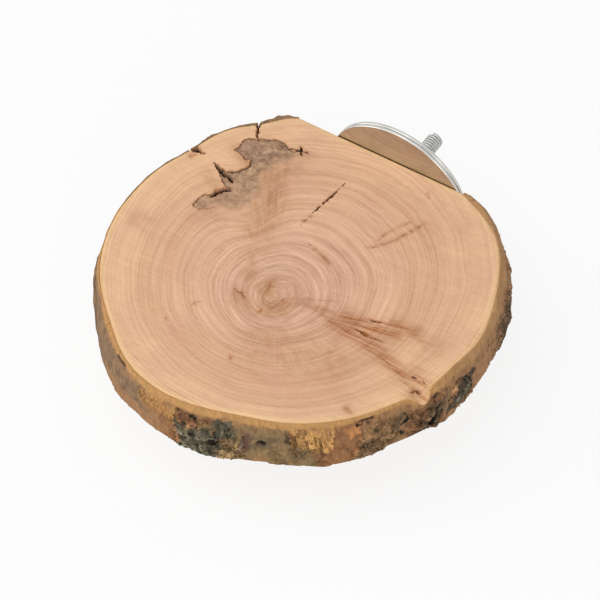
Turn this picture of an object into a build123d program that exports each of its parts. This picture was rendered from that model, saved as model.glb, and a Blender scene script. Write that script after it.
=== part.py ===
from build123d import *
from math import atan2, cos, degrees, pi, radians, sin
import os

# A slice of log with a sawn flat, held to a cage wall by a hanger bolt, two washers and a wing nut.
# The origin is on the bolt's axis at the clamp plane, +Y runs out along the stud and +Z is up.

# Log slice
slab_thickness = 20.0
log_radius = 61.5
log_offset_x = -2.1
flat_cut = 11.0
bolt_below_middle = 2.0

# Inner bark round the edge, shaved to a bevel at the top and fullest at the belly
bevel_drop = 3.0
top_edge_share = 0.25
bevel_share = 0.9
belly_share = 1.15

# Angle about the log's centre, swell of the wood beyond the log's radius, thickness of the inner bark
rim = [
    (0, 0.0, 1.6), (7, 0.1, 1.8), (15, -0.5, 2.1), (24, -0.8, 2.3), (33, -0.6, 3.2), (43, -0.9, 3.0),
    (53, -2.8, 3.3), (63, -4.3, 3.8), (90, -3.0, 1.6), (118, -1.5, 1.6), (128, 0.0, 1.6),
    (136, -0.8, 1.7), (145, 0.5, 1.8), (153, 0.0, 2.0), (160, -0.7, 2.0), (169, 0.2, 2.2),
    (180, 0.9, 2.4), (195, 1.5, 2.6), (208, 1.5, 3.2), (220, 0.9, 2.9), (232, 0.3, 3.2),
    (245, 1.6, 2.7), (257, 1.6, 2.6), (268, 0.2, 2.3), (277, -1.4, 2.8), (286, -2.3, 1.5),
    (298, -1.8, 1.1), (310, -1.5, 1.8), (321, -1.3, 1.2), (330, -1.3, 1.0), (337, -0.8, 1.6),
    (344, -0.4, 1.9), (352, -0.9, 1.6),
]

# Cut branch that runs out through the bark as a dipping tongue of wood
knot_angle = 337.5
knot_stands_out = 3.2
knot_root_inset = 6.0
knot_root_size = (13.0, 8.0)
knot_tip_size = (5.5, 4.0)
knot_corner = 1.8
knot_dip = 1.8

# Splits through the bark: angle, width at the mouth, depth into the wood, lean from upright
inner_bark_names = [
    "inner_bark_rear", "inner_bark_shoulder", "inner_bark_left", "inner_bark_front_left",
    "inner_bark_front", "inner_bark_front_right", "inner_bark_knot", "inner_bark_right",
]
wood_splits = [(137.5, 1.6, 6.5, 6), (158.5, 2.2, 4.5, -8)]
bark_splits = [
    (234, 0.8, 1.0, 10), (290, 1.0, 1.0, -9), (314.5, 0.8, 1.0, 14),
    (332, 0.8, 1.0, -6), (346.5, 1.2, 1.0, 8),
]
split_reach = 9.0

# Plates of rough outer bark left on the inner bark
outer_bark_thickness = 1.0
outer_bark_ripple = 0.25
ripple_count = 29
rough_step = 4
plate_points = 16
plate_squareness = 0.55
plate_raggedness = 0.1
# Angles of the two ends, lower and upper edge as shares of the thickness below the top, outline's phase
outer_bark = {
    "outer_bark_shoulder": (140, 157, 0.92, 0.20, 0.4),
    "outer_bark_left": (162, 233, 1.20, 0.20, 1.1),
    "outer_bark_lichen": (262, 288.5, 1.20, 0.19, 2.0),
    "outer_bark_olive": (291.5, 311.5, 1.25, 0.54, 0.2),
    "outer_bark_straw": (297, 312, 0.50, 0.17, 2.6),
    "outer_bark_grey": (316.5, 331.5, 1.20, 0.20, 3.3),
    "outer_bark_knot": (333.5, 345.5, 1.20, 0.36, 0.9),
    "outer_bark_strip": (348, 359, 0.98, 0.26, 1.7),
    "outer_bark_right": (6, 56, 1.25, 0.36, 2.3),
}

# Seams where bark grew into the wood: angle and inset from the wood's edge along each seam
seam_width = 1.5
seam_depth = 6.0
seam_sunk = 0.5
seams = {
    "ingrown_bark_upper": [(123, 14.6), (128, 12.8), (133, 9.4), (139, 6.9), (144, 6.0), (148, 8.4)],
    "ingrown_bark_middle": [(143.5, 14.6), (147, 16.6), (151, 17.2), (155, 14.6), (156.5, 9.8)],
    "ingrown_bark_lower": [(158.5, 21.0), (162, 21.4), (166, 19.6), (171.5, 18.0), (176.5, 17.4)],
}

# Hanger bolt: M6 stud outside, wood screw in the slab
stud_radius = 3.0
stud_reach = 22.4
stud_chamfer = 1.0
screw_radius = 2.6
screw_length = 30.0
screw_point = 6.0
pilot_clearance = 0.05

# Washers
washer_radius = 25.0
washer_hole_clearance = 0.3
washer_thickness = 1.2
washer_edge = 0.3
seat_gap = 0.3
washer_gap = 0.1

# Wing nut
nut_bore_clearance = 0.05
nut_base_wall = 2.45
nut_top_wall = 1.35
nut_height = 7.5
nut_gap = 0.1
wing_span = 24.0
wing_top = 10.5
wing_tip_radius = 3.0
wing_root_radius = 2.1
wing_root_height = 3.0
wing_thickness = 2.4
wing_edge = 0.7
wing_turn = -26.0

middle_z = bolt_below_middle
top_z = middle_z + slab_thickness / 2
bottom_z = middle_z - slab_thickness / 2
flat_y = -washer_thickness - seat_gap
log_x = log_offset_x
log_y = flat_y - (log_radius - flat_cut)
nut_bore_radius = stud_radius + nut_bore_clearance


def around_log(angle, radius):
    return (log_x + radius * cos(radians(angle)), log_y + radius * sin(radians(angle)))


def rim_at(angle):
    turn = angle % 360
    rows = rim + [(rim[0][0] + 360, *rim[0][1:])]
    for (start, swell, bark), (end, next_swell, next_bark) in zip(rows, rows[1:]):
        if start <= turn <= end:
            share = (turn - start) / (end - start)
            return (log_radius + swell + share * (next_swell - swell), bark + share * (next_bark - bark))


def rim_face(height, bark_share):
    points = [around_log(angle, log_radius + swell + bark_share * bark) for angle, swell, bark in rim]
    return Plane.XY.offset(height) * make_face(Spline(*points, periodic=True))


def rough_face(height, bark_share, phase):
    points = []
    for angle in range(0, 360, rough_step):
        wood, bark = rim_at(angle)
        ripple = outer_bark_ripple * sin(radians(ripple_count * angle) + phase)
        points.append(around_log(angle, wood + bark_share * bark + outer_bark_thickness + ripple))
    return Plane.XY.offset(height) * make_face(Spline(*points, periodic=True))


def behind_flat():
    reach = 2 * (log_radius + split_reach)
    block = Box(2 * reach, reach, 4 * slab_thickness, align=(Align.CENTER, Align.MIN, Align.CENTER))
    return Pos(log_x, flat_y, middle_z) * block


def split_wedge(angle, mouth, depth, lean):
    wood, _ = rim_at(angle)
    length = depth + split_reach
    outline = Polyline((0, 0), (length, mouth / 2), (length, -mouth / 2), close=True)
    wedge = extrude(make_face(outline), amount=slab_thickness, both=True)
    return Pos(*around_log(angle, wood - depth), middle_z) * Rot(0, 0, angle) * Rot(lean, 0, 0) * wedge


def out_from_log(angle, radius, height):
    outward = (cos(radians(angle)), sin(radians(angle)), 0)
    sideways = (-sin(radians(angle)), cos(radians(angle)), 0)
    return Plane(origin=(*around_log(angle, radius), height), x_dir=sideways, z_dir=outward)


def knot_tongue():
    edge, _ = rim_at(knot_angle)
    root_plane = out_from_log(knot_angle, edge - knot_root_inset, top_z - knot_root_size[1] / 2)
    tip_plane = out_from_log(knot_angle, edge + knot_stands_out, top_z - knot_dip - knot_tip_size[1] / 2)
    root = root_plane * RectangleRounded(*knot_root_size, knot_corner)
    tip = tip_plane * RectangleRounded(*knot_tip_size, knot_corner)
    return loft([root, tip])


def squared(wave):
    return abs(wave) ** plate_squareness * (1 if wave > 0 else -1)


def plate_prism(start, end, lower, upper, phase):
    half_turn = radians(end - start) / 2
    half_width = log_radius * sin(half_turn)
    half_height = slab_thickness * (lower - upper) / 2
    points = []
    for step in range(plate_points):
        turn = 2 * pi * step / plate_points
        ragged = 1 - plate_raggedness * (sin(3 * turn + phase) ** 2 + cos(5 * turn + 2 * phase) ** 2) / 2
        points.append((half_width * ragged * squared(cos(turn)), half_height * ragged * squared(sin(turn))))
    root_radius = (log_radius - split_reach) * cos(half_turn)
    place = out_from_log((start + end) / 2, root_radius, top_z - slab_thickness * (lower + upper) / 2)
    outline = place * make_face(Spline(*points, periodic=True))
    return extrude(outline, amount=log_radius + split_reach - root_radius)


def seam_solid(route, top):
    middle = [Vector(*around_log(angle, rim_at(angle)[0] - inset)) for angle, inset in route]
    one_side = []
    other_side = []
    for i in range(1, len(middle) - 1):
        along = (middle[i + 1] - middle[i - 1]).normalized()
        half = seam_width / 2 * sin(pi * i / (len(middle) - 1))
        one_side.append(middle[i] + Vector(-along.Y, along.X) * half)
        other_side.append(middle[i] - Vector(-along.Y, along.X) * half)
    left = Spline(middle[0], *one_side, middle[-1])
    right = Spline(middle[0], *other_side, middle[-1])
    floor_z = top_z - seam_depth
    return extrude(Plane.XY.offset(floor_z) * make_face([left, right]), amount=top - floor_z)


def bolt_solid(clearance):
    profile = Polyline(
        (0, stud_reach + clearance),
        (stud_radius - stud_chamfer + clearance, stud_reach + clearance),
        (stud_radius + clearance, stud_reach - stud_chamfer + clearance),
        (stud_radius + clearance, flat_y),
        (screw_radius + clearance, flat_y),
        (screw_radius + clearance, flat_y - screw_length + screw_point),
        (0, flat_y - screw_length - clearance),
        close=True,
    )
    return revolve(make_face(profile), axis=Axis.Y)


def washer_solid(back_y):
    ring = Cylinder(washer_radius, washer_thickness, align=(Align.CENTER, Align.CENTER, Align.MIN))
    ring = chamfer(ring.edges(), min(washer_edge, washer_thickness / 3))
    ring -= Cylinder(stud_radius + washer_hole_clearance, 4 * washer_thickness)
    return Plane(origin=(0, back_y, 0), x_dir=(1, 0, 0), z_dir=(0, 1, 0)) * ring


def wing_nut_solid(base_y):
    base_radius = nut_bore_radius + nut_base_wall
    top_radius = nut_bore_radius + nut_top_wall
    hub = Cone(base_radius, top_radius, nut_height, align=(Align.CENTER, Align.CENTER, Align.MIN))
    root = Pos(top_radius, wing_root_height) * Circle(wing_root_radius)
    tip = Pos(wing_span / 2 - wing_tip_radius, wing_top - wing_tip_radius) * Circle(wing_tip_radius)
    ear = extrude(Plane.XZ * make_hull([*root.edges(), *tip.edges()]), amount=wing_thickness / 2, both=True)
    sides = ear.faces().sort_by(Axis.Y)
    ear = fillet(sides[0].edges() + sides[-1].edges(), min(wing_edge, wing_thickness / 3))
    nut = hub + ear + mirror(ear, Plane.YZ)
    nut -= Cylinder(nut_bore_radius, 4 * wing_top)
    wing_line = (cos(radians(wing_turn)), 0, sin(radians(wing_turn)))
    return Plane(origin=(0, base_y, 0), x_dir=wing_line, z_dir=(0, 1, 0)) * nut


def turn_from_flat(piece):
    middle = piece.center()
    return (degrees(atan2(middle.Y - log_y, middle.X - log_x)) - 90) % 360


# Wood
round_slab = extrude(rim_face(bottom_z, 0), amount=slab_thickness) + knot_tongue()
wood_slab = round_slab - behind_flat() - bolt_solid(pilot_clearance)
for split in wood_splits:
    wood_slab -= split_wedge(*split)
for route in seams.values():
    wood_slab -= seam_solid(route, top_z)
nodes = {"wood_slab": wood_slab}

# Inner bark, one ring parted at the splits
bark_levels = [
    (bottom_z, 1.0),
    (middle_z, belly_share),
    (top_z - bevel_drop, bevel_share),
    (top_z, top_edge_share),
]
barked_log = loft([rim_face(height, share) for height, share in bark_levels], ruled=True)
inner_bark = barked_log - round_slab - behind_flat()
for split in wood_splits + bark_splits:
    inner_bark -= split_wedge(*split)
nodes.update(zip(inner_bark_names, sorted(inner_bark.solids(), key=turn_from_flat)))

# Outer bark, ragged plates seated on the inner bark
rough_log = loft([rough_face(height, share, height) for height, share in bark_levels], ruled=True)
for name, outline in outer_bark.items():
    nodes[name] = (plate_prism(*outline) & rough_log) - barked_log - round_slab - behind_flat()

# Ingrown bark
for name, route in seams.items():
    nodes[name] = seam_solid(route, top_z - seam_sunk)

# Clamp
outer_washer_y = washer_gap
nut_y = outer_washer_y + washer_thickness + nut_gap
nodes["hanger_bolt"] = bolt_solid(0)
nodes["inner_washer"] = washer_solid(-washer_thickness)
nodes["outer_washer"] = washer_solid(outer_washer_y)
nodes["wing_nut"] = wing_nut_solid(nut_y)

os.makedirs("parts", exist_ok=True)
for name, piece in nodes.items():
    export_step(piece, f"parts/{name}.step")
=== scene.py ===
from math import ceil, cos, pi, radians, sin

import bmesh
import bpy
import numpy as np
from mathutils import Matrix, Vector, noise
from mathutils.bvhtree import BVHTree
from mathutils.geometry import delaunay_2d_cdt


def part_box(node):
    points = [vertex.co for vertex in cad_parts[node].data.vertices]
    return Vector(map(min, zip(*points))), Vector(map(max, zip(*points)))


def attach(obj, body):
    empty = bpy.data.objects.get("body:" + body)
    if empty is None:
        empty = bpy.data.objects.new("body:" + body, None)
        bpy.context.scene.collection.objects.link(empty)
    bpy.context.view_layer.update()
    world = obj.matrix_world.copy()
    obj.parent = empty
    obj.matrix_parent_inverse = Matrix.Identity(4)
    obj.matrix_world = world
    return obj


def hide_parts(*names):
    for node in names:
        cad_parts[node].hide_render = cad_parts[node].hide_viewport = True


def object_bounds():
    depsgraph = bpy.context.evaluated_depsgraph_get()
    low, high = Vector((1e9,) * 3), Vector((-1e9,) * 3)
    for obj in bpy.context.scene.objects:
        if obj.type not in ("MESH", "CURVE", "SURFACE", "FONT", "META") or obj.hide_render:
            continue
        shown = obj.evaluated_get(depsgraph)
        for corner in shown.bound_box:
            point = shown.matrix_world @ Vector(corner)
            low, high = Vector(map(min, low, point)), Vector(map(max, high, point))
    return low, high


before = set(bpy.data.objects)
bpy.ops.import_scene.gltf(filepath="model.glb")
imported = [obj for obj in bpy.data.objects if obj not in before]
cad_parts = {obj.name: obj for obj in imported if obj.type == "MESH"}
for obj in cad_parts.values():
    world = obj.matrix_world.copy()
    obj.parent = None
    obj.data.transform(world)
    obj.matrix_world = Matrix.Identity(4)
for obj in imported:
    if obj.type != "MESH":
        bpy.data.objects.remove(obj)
cadLow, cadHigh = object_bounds()
print("frame loaded")

mm = 0.001  # points are worked out in millimetres and written to the meshes in metres
slabLow, slabHigh = (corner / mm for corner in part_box("wood_slab"))

log = {
    "centre": (-2.1, -52.0),
    "pith": (-2.5, -67.6),
    "radius": 61.5,
    "top": slabHigh.z,
    "bottom": slabLow.z,
    "clearHeight": 4.6,  # a level above the bolt's hole and below the ingrown seams
    "wound": [(-40, -30), (-32, -36), (-26, -45)],  # rings bend in towards the pith along this line
    "woundBend": 0.1,
    "woundReach": 8.0,
}


# Small tools

def hexColour(code):
    parts = [int(code[i:i + 2], 16) / 255 for i in (0, 2, 4)]
    linear = [c / 12.92 if c <= 0.04045 else ((c + 0.055) / 1.055) ** 2.4 for c in parts]
    return (*linear, 1.0)


def setInputs(tree, node, inputs):
    for key, value in inputs.items():
        named = [s for s in node.inputs if s.enabled and s.name == key]
        target = named[0] if named else node.inputs[key]
        if isinstance(value, bpy.types.Node):
            value = next(s for s in value.outputs if s.enabled)
        if isinstance(value, bpy.types.NodeSocket):
            tree.links.new(value, target)
        else:
            target.default_value = hexColour(value) if target.type == "RGBA" else value


def addNode(tree, kind, inputs=None, stops=None, **settings):
    node = tree.nodes.new(kind)
    for name, value in settings.items():
        setattr(node, name, value)
    setInputs(tree, node, inputs or {})
    if stops:
        elements = node.color_ramp.elements
        while len(elements) < len(stops):
            elements.new(0.5)
        for element, (position, colour) in zip(elements, stops):
            element.position = position
            element.color = hexColour(colour)
    return node


def newMaterial(name):
    material = bpy.data.materials.new(name)
    material.use_nodes = True
    tree = material.node_tree
    shader = tree.nodes["Principled BSDF"]
    place = addNode(tree, "ShaderNodeTexCoord").outputs["Object"]
    return material, tree, shader, place


def perMetre(size):
    return 1 / (size * mm)


def smooth(low, high, values):
    share = np.clip((np.asarray(values, float) - low) / (high - low), 0, 1)
    return share * share * (3 - 2 * share)


def lumpy(points, size, octaves=3, seed=0):
    shift = Vector((seed * 17.3, seed * 5.1, seed * 9.7))
    return np.array([noise.fractal(Vector(p) / size + shift, 1.0, 2.0, octaves) for p in points])


def keptInBox(points):
    inset = 0.005
    return np.clip(points, np.array(cadLow) / mm + inset, np.array(cadHigh) / mm - inset)


def meshPiece(name, points, faces, material, layers=None, sharp=None):
    mesh = bpy.data.meshes.new(name)
    mesh.from_pydata((keptInBox(points) * mm).tolist(), [], faces)
    for layer, values in (layers or {}).items():
        values = np.asarray(values, np.float32)
        kind, field = ("FLOAT", "value") if values.ndim == 1 else ("FLOAT_COLOR", "color")
        attribute = mesh.attributes.new(layer, kind, "POINT")
        attribute.data.foreach_set(field, values.ravel())
    shell = bmesh.new()
    shell.from_mesh(mesh)
    bmesh.ops.recalc_face_normals(shell, faces=shell.faces)
    shell.to_mesh(mesh)
    shell.free()
    mesh.shade_smooth()
    if sharp:
        mesh.set_sharp_from_angle(angle=radians(sharp))
    mesh.materials.append(material)
    piece = bpy.data.objects.new(name, mesh)
    bpy.context.scene.collection.objects.link(piece)
    return piece


def loftFaces(loops, closed=False):
    faces = []
    for here, there in zip(loops, loops[1:] + loops[:1] if closed else loops[1:]):
        for i in range(len(here)):
            k = (i + 1) % len(here)
            faces.append([here[i], here[k], there[k], there[i]])
    return faces


def settle(piece, body, slot, *nodes):
    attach(piece, body)
    if nodes:
        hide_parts(*nodes)
    return piece


def rayTree(*names):
    points = []
    faces = []
    for name in names:
        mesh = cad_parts[name].data
        first = len(points)
        points += [v.co / mm for v in mesh.vertices]
        faces += [[first + i for i in face.vertices] for face in mesh.polygons]
    return BVHTree.FromPolygons(points, faces)


def radiusOutside(tree, angle, height):
    outward = Vector((cos(angle), sin(angle), 0))
    axis = Vector((*log["centre"], height))
    reach = 2 * log["radius"]
    hit = tree.ray_cast(axis + outward * reach, -outward, reach)[0]
    return None if hit is None else (hit - axis).length


def onLog(angle, radius, height):
    x = log["centre"][0] + radius * np.cos(angle)
    y = log["centre"][1] + radius * np.sin(angle)
    return np.stack([x, y, np.broadcast_to(height, np.shape(angle))], axis=-1)


def angleOf(points):
    return np.arctan2(points[:, 1] - log["centre"][1], points[:, 0] - log["centre"][0])


# Camera at the photograph's place

camera = {
    "azimuth": 37.339,
    "elevation": 51.659,
    "roll": -4.728,
    "distance": 900.0,
    "aimRight": 31.771,
    "aimUp": 37.293,
    "focalPixels": 2803.457,
    "framePixels": 600,
    "sensor": 36.0,
}


def makeCamera():
    azimuth, elevation, roll = (radians(camera[key]) for key in ("azimuth", "elevation", "roll"))
    back = Vector((sin(azimuth) * cos(elevation), -cos(azimuth) * cos(elevation), sin(elevation)))
    level = Vector((cos(azimuth), sin(azimuth), 0))
    right = cos(roll) * level + sin(roll) * back.cross(level)
    up = back.cross(right)
    data = bpy.data.cameras.new("photoCamera")
    data.sensor_width = camera["sensor"]
    data.lens = camera["focalPixels"] / camera["framePixels"] * camera["sensor"]
    data.clip_start = 0.01
    view = bpy.data.objects.new("photoCamera", data)
    place = back * camera["distance"] - right * camera["aimRight"] - up * camera["aimUp"]
    turn = Matrix((right, up, back)).transposed().to_4x4()
    view.matrix_world = Matrix.Translation(place * mm) @ turn
    bpy.context.scene.collection.objects.link(view)
    bpy.context.scene.camera = view


# Studio: pale floor, white surround and three soft lamps

studio = {
    "floorDrop": 1.5,  # mm under the washers
    "floorSize": 6.0,  # metres
    "floorColour": "f4f4f2",
    "skyLight": 0.5,
    "shadowKept": 0.16,
    "lamps": [  # name, place and size in metres, power in watts
        ("topLamp", (-0.25, -0.25, 1.1), 1.1, 5.2),
        ("frontLamp", (0.75, -0.95, 0.55), 0.8, 4.0),
        ("leftLamp", (-0.95, -0.35, 0.45), 0.8, 3.0),
    ],
}


def seenDirectly(tree):
    path = addNode(tree, "ShaderNodeLightPath").outputs
    seen = path["Is Camera Ray"]
    for kind in ("Is Glossy Ray", "Is Transmission Ray"):
        seen = addNode(tree, "ShaderNodeMath", {0: seen, 1: path[kind]}, operation="MAXIMUM")
    return seen


def makeStudio():
    scene = bpy.context.scene
    scene.view_settings.view_transform = "Standard"
    world = bpy.data.worlds.new("paleStudio")
    scene.world = world
    world.use_nodes = True
    tree = world.node_tree
    level = addNode(tree, "ShaderNodeMapRange", {
        "Value": seenDirectly(tree), "To Min": studio["skyLight"], "To Max": 1.0})
    setInputs(tree, tree.nodes["Background"], {"Color": "ffffff", "Strength": level})

    half = studio["floorSize"] / 2
    height = cadLow.z - studio["floorDrop"] * mm
    corners = [(-half, -half, height), (half, -half, height), (half, half, height), (-half, half, height)]
    mesh = bpy.data.meshes.new("studioFloor")
    mesh.from_pydata(corners, [], [(0, 1, 2, 3)])
    floor = bpy.data.objects.new("studioFloor", mesh)
    scene.collection.objects.link(floor)
    material, tree, shader, _ = newMaterial("paleFloor")
    setInputs(tree, shader, {
        "Base Color": studio["floorColour"], "Roughness": 0.9, "Specular IOR Level": 0.0})
    white = addNode(tree, "ShaderNodeEmission", {"Color": "ffffff", "Strength": 1.0})
    share = addNode(tree, "ShaderNodeMath", {
        0: seenDirectly(tree), 1: 1 - studio["shadowKept"]}, operation="MULTIPLY")
    blend = addNode(tree, "ShaderNodeMixShader", {0: share, 1: shader, 2: white})
    setInputs(tree, tree.nodes["Material Output"], {"Surface": blend})
    mesh.materials.append(material)

    aim = Vector((*log["centre"], 0)) * mm
    for name, position, size, power in studio["lamps"]:
        data = bpy.data.lights.new(name, "AREA")
        data.size = size
        data.energy = power
        lamp = bpy.data.objects.new(name, data)
        lamp.location = position
        lamp.rotation_euler = (aim - lamp.location).to_track_quat("-Z", "Y").to_euler()
        scene.collection.objects.link(lamp)


makeCamera()
makeStudio()
print("camera and studio made")


# Wood: end grain sanded by machine, so rings and stains show softly under a dull surface

woodLook = {
    "ringCount": 44,
    "ringStray": 1.6,  # years by which a ring wavers
    "ringNoise": 1.3,  # cells of noise to a year
    "ringTurn": 0.7,
    "rayCount": 40.0,
    "rayLength": 9.0,
    "sawMark": 0.9,
    "sawTurn": -33,
    # Plain noises: size in mm, detail and roughness
    "noises": {"waver": (14.0, 2.0, 0.5), "patch": (11.0, 3.0, 0.5), "cloud": (17.0, 4.0, 0.6),
               "soft": (5.0, 5.0, 0.65), "mottle": (2.6, 6.0, 0.7), "pore": (0.35, 3.0, 0.6)},
    # How far rays, saw marks and pores shade the wood, and its tone without them
    "rayTone": 0.13,
    "sawTone": 0.22,
    "poreTone": 0.42,
    "plainTone": 0.612,
    "heart": "cba184",
    "inner": "ddb296",
    "outer": "ddb08c",
    "sap": "e9be96",
    "pink": "d2a189",
    "lateWood": "ad8168",
    "lateHeart": "97796a",
    "tint": "bb8a64",
    "shadeHue": (0.75, 1.0, 1.15),  # darker grain is redder
    "edge": "ecc78e",
    "brown": "a46233",
    "stainLight": "cda985",
    "stain": "a3826a",
    "stainDark": "745843",
    "black": "1d1410",
}


def woodMaterial():
    look = woodLook
    material, tree, shader, place = newMaterial("sandedEndGrain")
    layer = {}
    for name in ("growth", "edge", "stain", "brown", "tint", "dark"):
        layer[name] = addNode(tree, "ShaderNodeAttribute", attribute_name=name).outputs["Fac"]
    plain = {}
    for name, (size, detail, rough) in look["noises"].items():
        plain[name] = addNode(tree, "ShaderNodeTexNoise", {
            "Vector": place, "Scale": perMetre(size), "Detail": detail, "Roughness": rough})
    setInputs(tree, plain["mottle"], {"Distortion": 0.8})

    # Medullary rays: noise that changes quickly round the pith and slowly along each spoke
    pith = tuple(value * mm for value in log["pith"])
    spoke = addNode(tree, "ShaderNodeVectorMath", {0: place, 1: (*pith, 0.0)}, operation="SUBTRACT")
    spoke = addNode(tree, "ShaderNodeVectorMath", {0: spoke, 1: (1.0, 1.0, 0.0)}, operation="MULTIPLY")
    turn = addNode(tree, "ShaderNodeVectorMath", {0: spoke}, operation="NORMALIZE")
    far = addNode(tree, "ShaderNodeVectorMath", {0: spoke}, operation="LENGTH")
    far = addNode(tree, "ShaderNodeMath", {
        0: far, 1: perMetre(look["rayLength"]) / look["rayCount"]}, operation="MULTIPLY")
    rays = addNode(tree, "ShaderNodeTexNoise", {
        "Vector": turn, "W": far, "Scale": look["rayCount"], "Detail": 4.0, "Roughness": 0.62},
        noise_dimensions="4D")

    # Rings: noise that changes quickly along each spoke and slowly round the pith, strongest at the heart
    age = addNode(tree, "ShaderNodeMath", {0: layer["growth"], 1: look["ringCount"]}, operation="MULTIPLY")
    age = addNode(tree, "ShaderNodeMath", {
        0: plain["waver"], 1: look["ringStray"], 2: age}, operation="MULTIPLY_ADD")
    years = addNode(tree, "ShaderNodeMath", {
        0: age, 1: look["ringNoise"] / look["ringTurn"]}, operation="MULTIPLY")
    rings = addNode(tree, "ShaderNodeTexNoise", {
        "Vector": turn, "W": years, "Scale": look["ringTurn"], "Detail": 4.0, "Roughness": 0.79},
        noise_dimensions="4D")
    rings = addNode(tree, "ShaderNodeMath", {0: rings, 1: 0.5}, operation="SUBTRACT")
    strength = addNode(tree, "ShaderNodeMapRange", {
        "Value": layer["growth"], "From Max": 0.9, "To Min": 2.0, "To Max": 0.85})
    rings = addNode(tree, "ShaderNodeMath", {0: rings, 1: strength}, operation="MULTIPLY")

    # Late wood: a thin dark line in some years, in patches
    phase = addNode(tree, "ShaderNodeMath", {0: age}, operation="FRACT")
    late = addNode(tree, "ShaderNodeValToRGB", {0: phase}, stops=[
        (0.0, "000000"), (0.4, "202020"), (0.8, "9c9c9c"), (0.92, "ffffff"), (1.0, "000000")])
    year = addNode(tree, "ShaderNodeMath", {0: age}, operation="FLOOR")
    yearTone = addNode(tree, "ShaderNodeTexWhiteNoise", {"W": year}, noise_dimensions="1D")
    yearTone = addNode(tree, "ShaderNodeMath", {0: yearTone, 1: 2.0}, operation="POWER")
    patch = addNode(tree, "ShaderNodeMapRange", {
        "Value": plain["patch"], "From Min": 0.36, "From Max": 0.66, "To Min": 0.1, "To Max": 0.75})
    for share in (yearTone, patch):
        late = addNode(tree, "ShaderNodeMath", {0: late, 1: share}, operation="MULTIPLY")

    # Colours, laid over each other from the heartwood's own to the stain
    colour = addNode(tree, "ShaderNodeValToRGB", {0: layer["growth"]}, stops=[
        (0.03, look["heart"]), (0.2, look["inner"]), (0.68, look["outer"]), (1.0, look["sap"])])
    cloud = addNode(tree, "ShaderNodeMapRange", {
        "Value": plain["cloud"], "From Min": 0.42, "From Max": 0.66, "To Max": 0.4})
    lateColour = addNode(tree, "ShaderNodeValToRGB", {0: layer["growth"]}, stops=[
        (0.12, look["lateHeart"]), (0.3, look["lateWood"])])
    edge = addNode(tree, "ShaderNodeMapRange", {
        "Value": layer["edge"], "From Min": 1.9, "From Max": 0.5, "To Max": 0.48},
        interpolation_type="SMOOTHSTEP")
    soft = addNode(tree, "ShaderNodeMath", {0: plain["soft"], 1: rays}, operation="ADD")
    soft = addNode(tree, "ShaderNodeMapRange", {
        "Value": soft, "From Min": 0.74, "From Max": 1.26, "To Min": 0.05, "To Max": 1.7})
    streak = addNode(tree, "ShaderNodeMapRange", {
        "Value": rays, "From Min": 0.38, "From Max": 0.64, "To Min": 0.25, "To Max": 1.45})
    worn = {}
    for name, share in (("tint", soft), ("brown", streak)):
        worn[name] = addNode(tree, "ShaderNodeMath", {
            0: layer[name], 1: share}, operation="MULTIPLY", use_clamp=True)
    stain = addNode(tree, "ShaderNodeValToRGB", {0: plain["mottle"]}, stops=[
        (0.32, look["stainDark"]), (0.5, look["stain"]), (0.7, look["stainLight"])])
    coats = [(cloud, look["pink"]), (late, lateColour), (edge, look["edge"]), (worn["tint"], look["tint"]),
             (worn["brown"], look["brown"]), (layer["stain"], stain)]
    for share, over in coats:
        colour = addNode(tree, "ShaderNodeMix", {"Factor": share, "A": colour, "B": over}, data_type="RGBA")

    # Pores, rays and the marks of the saw shade the wood a little
    sawn = addNode(tree, "ShaderNodeMapping", {
        "Vector": place, "Rotation": (0.0, 0.0, radians(look["sawTurn"])), "Scale": (0.07, 1.0, 1.0)})
    sawn = addNode(tree, "ShaderNodeTexNoise", {
        "Vector": sawn, "Scale": perMetre(look["sawMark"]), "Detail": 2.0})
    tone = rings
    for name, marks in (("rayTone", rays), ("sawTone", sawn), ("poreTone", plain["pore"])):
        tone = addNode(tree, "ShaderNodeMath", {0: marks, 1: look[name], 2: tone}, operation="MULTIPLY_ADD")
    tone = addNode(tree, "ShaderNodeMath", {0: tone, 1: look["plainTone"]}, operation="ADD")
    shade = addNode(tree, "ShaderNodeVectorMath", {0: tone, 1: look["shadeHue"]}, operation="POWER")
    colour = addNode(tree, "ShaderNodeVectorMath", {0: colour, 1: shade}, operation="MULTIPLY")

    # Cracks crumble at their edges, so faint ones break up into dots
    crumble = addNode(tree, "ShaderNodeMath", {
        0: plain["mottle"], 1: 0.9, 2: layer["dark"]}, operation="MULTIPLY_ADD")
    crumble = addNode(tree, "ShaderNodeMapRange", {"Value": crumble, "From Min": 0.72, "From Max": 1.12})
    colour = addNode(tree, "ShaderNodeMix", {
        "Factor": crumble, "A": colour, "B": look["black"]}, data_type="RGBA")
    relief = addNode(tree, "ShaderNodeMath", {0: late, 1: 0.4, 2: plain["pore"]}, operation="MULTIPLY_ADD")
    bump = addNode(tree, "ShaderNodeBump", {"Strength": 0.25, "Distance": 0.06 * mm, "Height": relief})
    setInputs(tree, shader, {
        "Base Color": colour, "Normal": bump, "Roughness": 0.7, "Specular IOR Level": 0.05})
    return material


# Lines on the top face, in mm: seams, checks and streaks with half width, depth, blackness and brownness

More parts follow.
